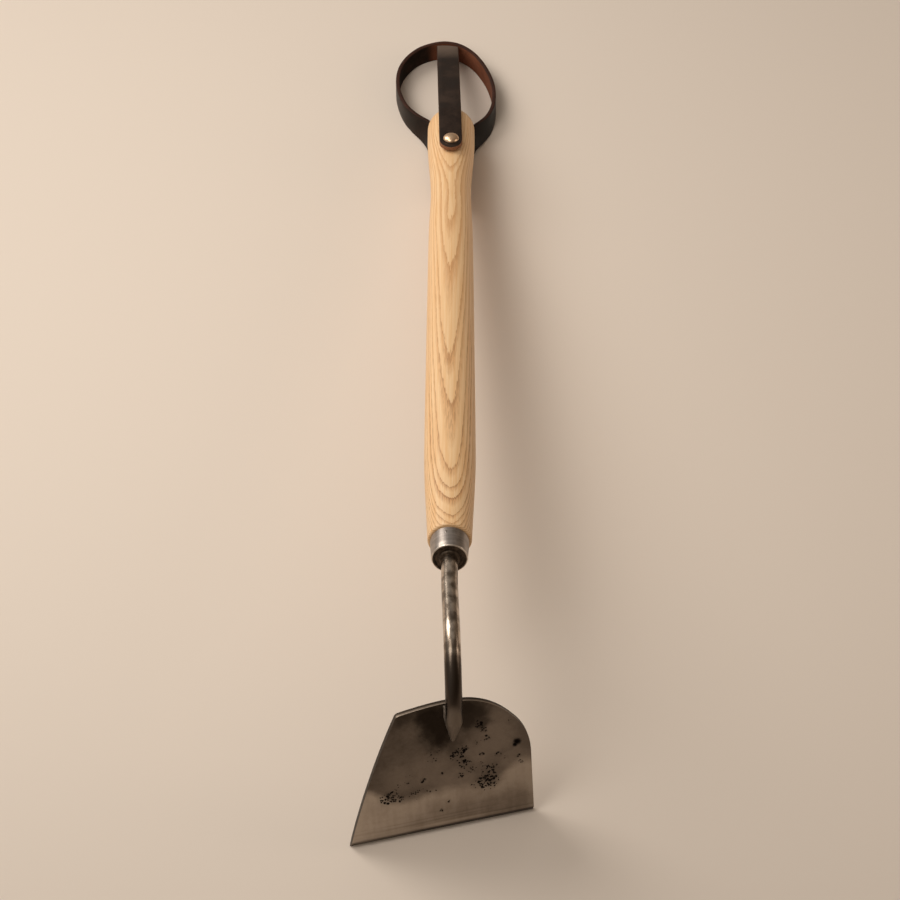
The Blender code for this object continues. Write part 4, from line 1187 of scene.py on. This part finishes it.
def front_strap_skin():
    face = wall_inside(strap_far_offset)[0]
    far_y = face - contact_gap - strap_thickness / 2
    start = rivet_centre - handle_away * strap_end_margin + handle_up * strap_level
    leave = dome_centre + handle_up * strap_level
    bend = Vector((0.0, far_y, strap_width - strap_thickness / 2))
    end = Vector((0.0, far_y, strap_tab_clearance))
    slope = (leave.z - bend.z) / (bend - leave).length
    path = bent_path([start, leave, bend, end], [strap_leave_bend, strap_end_bend], 14)
    half = strap_width / 2
    ahead = (path[1] - path[0]).normalized()
    shares = (*round_end_shares, 1.0)
    path = [path[0] + ahead * half * share for share in shares] + even_steps(path[1:], 3 * MM)
    rings = []
    for point, heading, run in zip(path, headings_of(path), run_lengths(path)):
        share = (point.y - start.y) / (far_y - start.y)
        out = Vector((1, 0, 0)).cross(heading)
        near_wall = smooth_share(1 - (far_y - point.y) / (1.6 * strap_width))
        seat = smooth_share((-heading.z - slope) / (1 - slope))
        slide = heading.lerp(Vector((0, 1, 0)), seat)
        ring = []
        for across, up in strap_section(half_width_near_end(run)):
            at_x = strap_far_offset * share + across
            wall, inward = wall_inside(at_x)
            place = point + Vector((at_x, 0, 0)) + slide * (wall - face) * near_wall + out * up
            depth = contact_gap + strap_thickness / 2 - up
            seated = Vector((at_x, wall + contact_gap / inward.y, point.z)) + inward * (depth - contact_gap)
            ring.append(place.lerp(seated, seat))
        rings.append(ring)
    return skin_over(rings, strap_section_slots)


strap_finishes = [
    leather_finish("strap_grain_leather", grain_black, grain_brown, 0.42, 0.56, 0.3, 0.19,
                   ("Y", sheen_from, sheen_from + 24 * MM, strap_painted_sheen)),
    leather_finishes[1],
    leather_finish("strap_cut_edge", strap_edge_tan, strap_edge_pale, 0.6, 0.8, 0.8, 0.15,
                   ("Y", rivet_centre.y - 4 * MM, rivet_centre.y + 6 * MM, strap_edge_dark)),
]
front_strap = made_piece("leather_front_strap", front_strap_skin(), strap_finishes, 50)
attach(front_strap, "loop")
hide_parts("front_strap")

# Butt rivet and its burr: a solid brass rivet through strap, handle and both loop ends.
# The head is domed with a rivet set, and the tail is peened over a small washer.
butt_rivet_head_radius = 5.8 * MM
butt_rivet_head_rise = 3.4 * MM
butt_rivet_shank_radius = 1.9 * MM
butt_burr_radius = 4.8 * MM
butt_burr_thickness = 1.2 * MM
peen_overhang = 1.0 * MM
peen_rise = 1.1 * MM
peen_edge = 0.2 * MM
brass_dark = (0.74, 0.47, 0.29, 1.0)
brass_light = (0.92, 0.68, 0.47, 1.0)


def rivet_profile(shank, head_radius, head_rise, head_base, peen_top):
    """Domed head above head_base, shank, and a peened tail below peen_top."""
    profile = [(0.0, head_base + head_rise)]
    for cosine, sine in quarter_turn(1, 15):
        profile.append((head_radius * sine, head_base + head_rise * cosine))
    peen = shank + peen_overhang
    profile += [(head_radius, head_base + head_rise * 0.08), (head_radius * 0.97, head_base),
                (shank, head_base), (shank, peen_top), (peen * 0.96, peen_top), (peen, peen_top - peen_edge)]
    for cosine, sine in quarter_turn(1, 8):
        profile.append((peen * cosine, peen_top - peen_edge - (peen_rise - peen_edge) * sine))
    profile.append((0.0, peen_top - peen_rise))
    return profile


def burr_profile(hole, radius, thickness, top):
    soft = 0.15 * MM
    return [(hole, top), (radius - soft, top), (radius, top - soft), (radius, top - thickness + soft),
            (radius - soft, top - thickness), (hole, top - thickness)]


def rivet_brass_finish():
    finish, place = new_finish("rivet_brass")
    cloud = noise(place, 260.0, 3.0)
    fine = noise(place, 1500.0, 2.0)
    colour = blend(cloud, brass_dark, brass_light)
    rough = mapped(cloud, 0.3, 0.7, 0.27, 0.38)
    return finish_off(finish, colour, rough, fine, 0.04, 0.1 * MM, 1.0)


def rivet_and_burr(name, frame, shank, head_radius, head_rise, head_base, burr_radius, burr_thickness,
                   burr_top, facets):
    """A rivet, and the burr under its peened tail."""
    profile = rivet_profile(shank, head_radius, head_rise, head_base, burr_top - burr_thickness - contact_gap)
    rivet = turned_piece(name + "_rivet_brass", profile, facets, [rivet_brass], 50)
    profile = burr_profile(shank + contact_gap, burr_radius, burr_thickness, burr_top)
    burr = turned_piece(name + "_rivet_washer", profile, 48, [rivet_brass])
    rivet.matrix_world = frame
    burr.matrix_world = frame
    return rivet, burr


rivet_brass = rivet_brass_finish()
butt_rivet_frame = Matrix.Translation(rivet_centre) @ Matrix.Rotation(-handle_pitch, 4, "X")
butt_rivet, butt_burr = rivet_and_burr(
    "butt", butt_rivet_frame, butt_rivet_shank_radius, butt_rivet_head_radius, butt_rivet_head_rise,
    strap_level + strap_thickness / 2 + contact_gap / 3, butt_burr_radius, butt_burr_thickness,
    -(flare_radius + leather_stack + contact_gap), 64)
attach(butt_rivet, "hoe")
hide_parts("butt_rivet")
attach(butt_burr, "hoe")
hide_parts("butt_rivet_burr")

# Loop rivet and its burr: a small brass rivet through the front strap's end and the ring.
# Its head is inside the ring and its burr outside, on the grain.
loop_rivet_height = 8.0 * MM
loop_rivet_head_radius = 3.6 * MM
loop_rivet_head_rise = 1.6 * MM
loop_rivet_shank_radius = 1.4 * MM
loop_burr_radius = 3.6 * MM
loop_burr_thickness = 1.0 * MM

wall_face, wall_inward = wall_inside(strap_far_offset)
loop_rivet_place = Vector((strap_far_offset, wall_face, loop_rivet_height))
loop_rivet_place -= wall_inward * strap_thickness / 2
loop_rivet_frame = (Matrix.Translation(loop_rivet_place)
                    @ wall_inward.to_track_quat("Z", "Y").to_matrix().to_4x4())
loop_rivet, loop_burr = rivet_and_burr(
    "loop", loop_rivet_frame, loop_rivet_shank_radius, loop_rivet_head_radius, loop_rivet_head_rise,
    strap_thickness * 1.5 + contact_gap * 2, loop_burr_radius, loop_burr_thickness,
    -strap_thickness / 2 - contact_gap, 48)
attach(loop_rivet, "loop")
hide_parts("loop_rivet")
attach(loop_burr, "loop")
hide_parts("loop_rivet_burr")
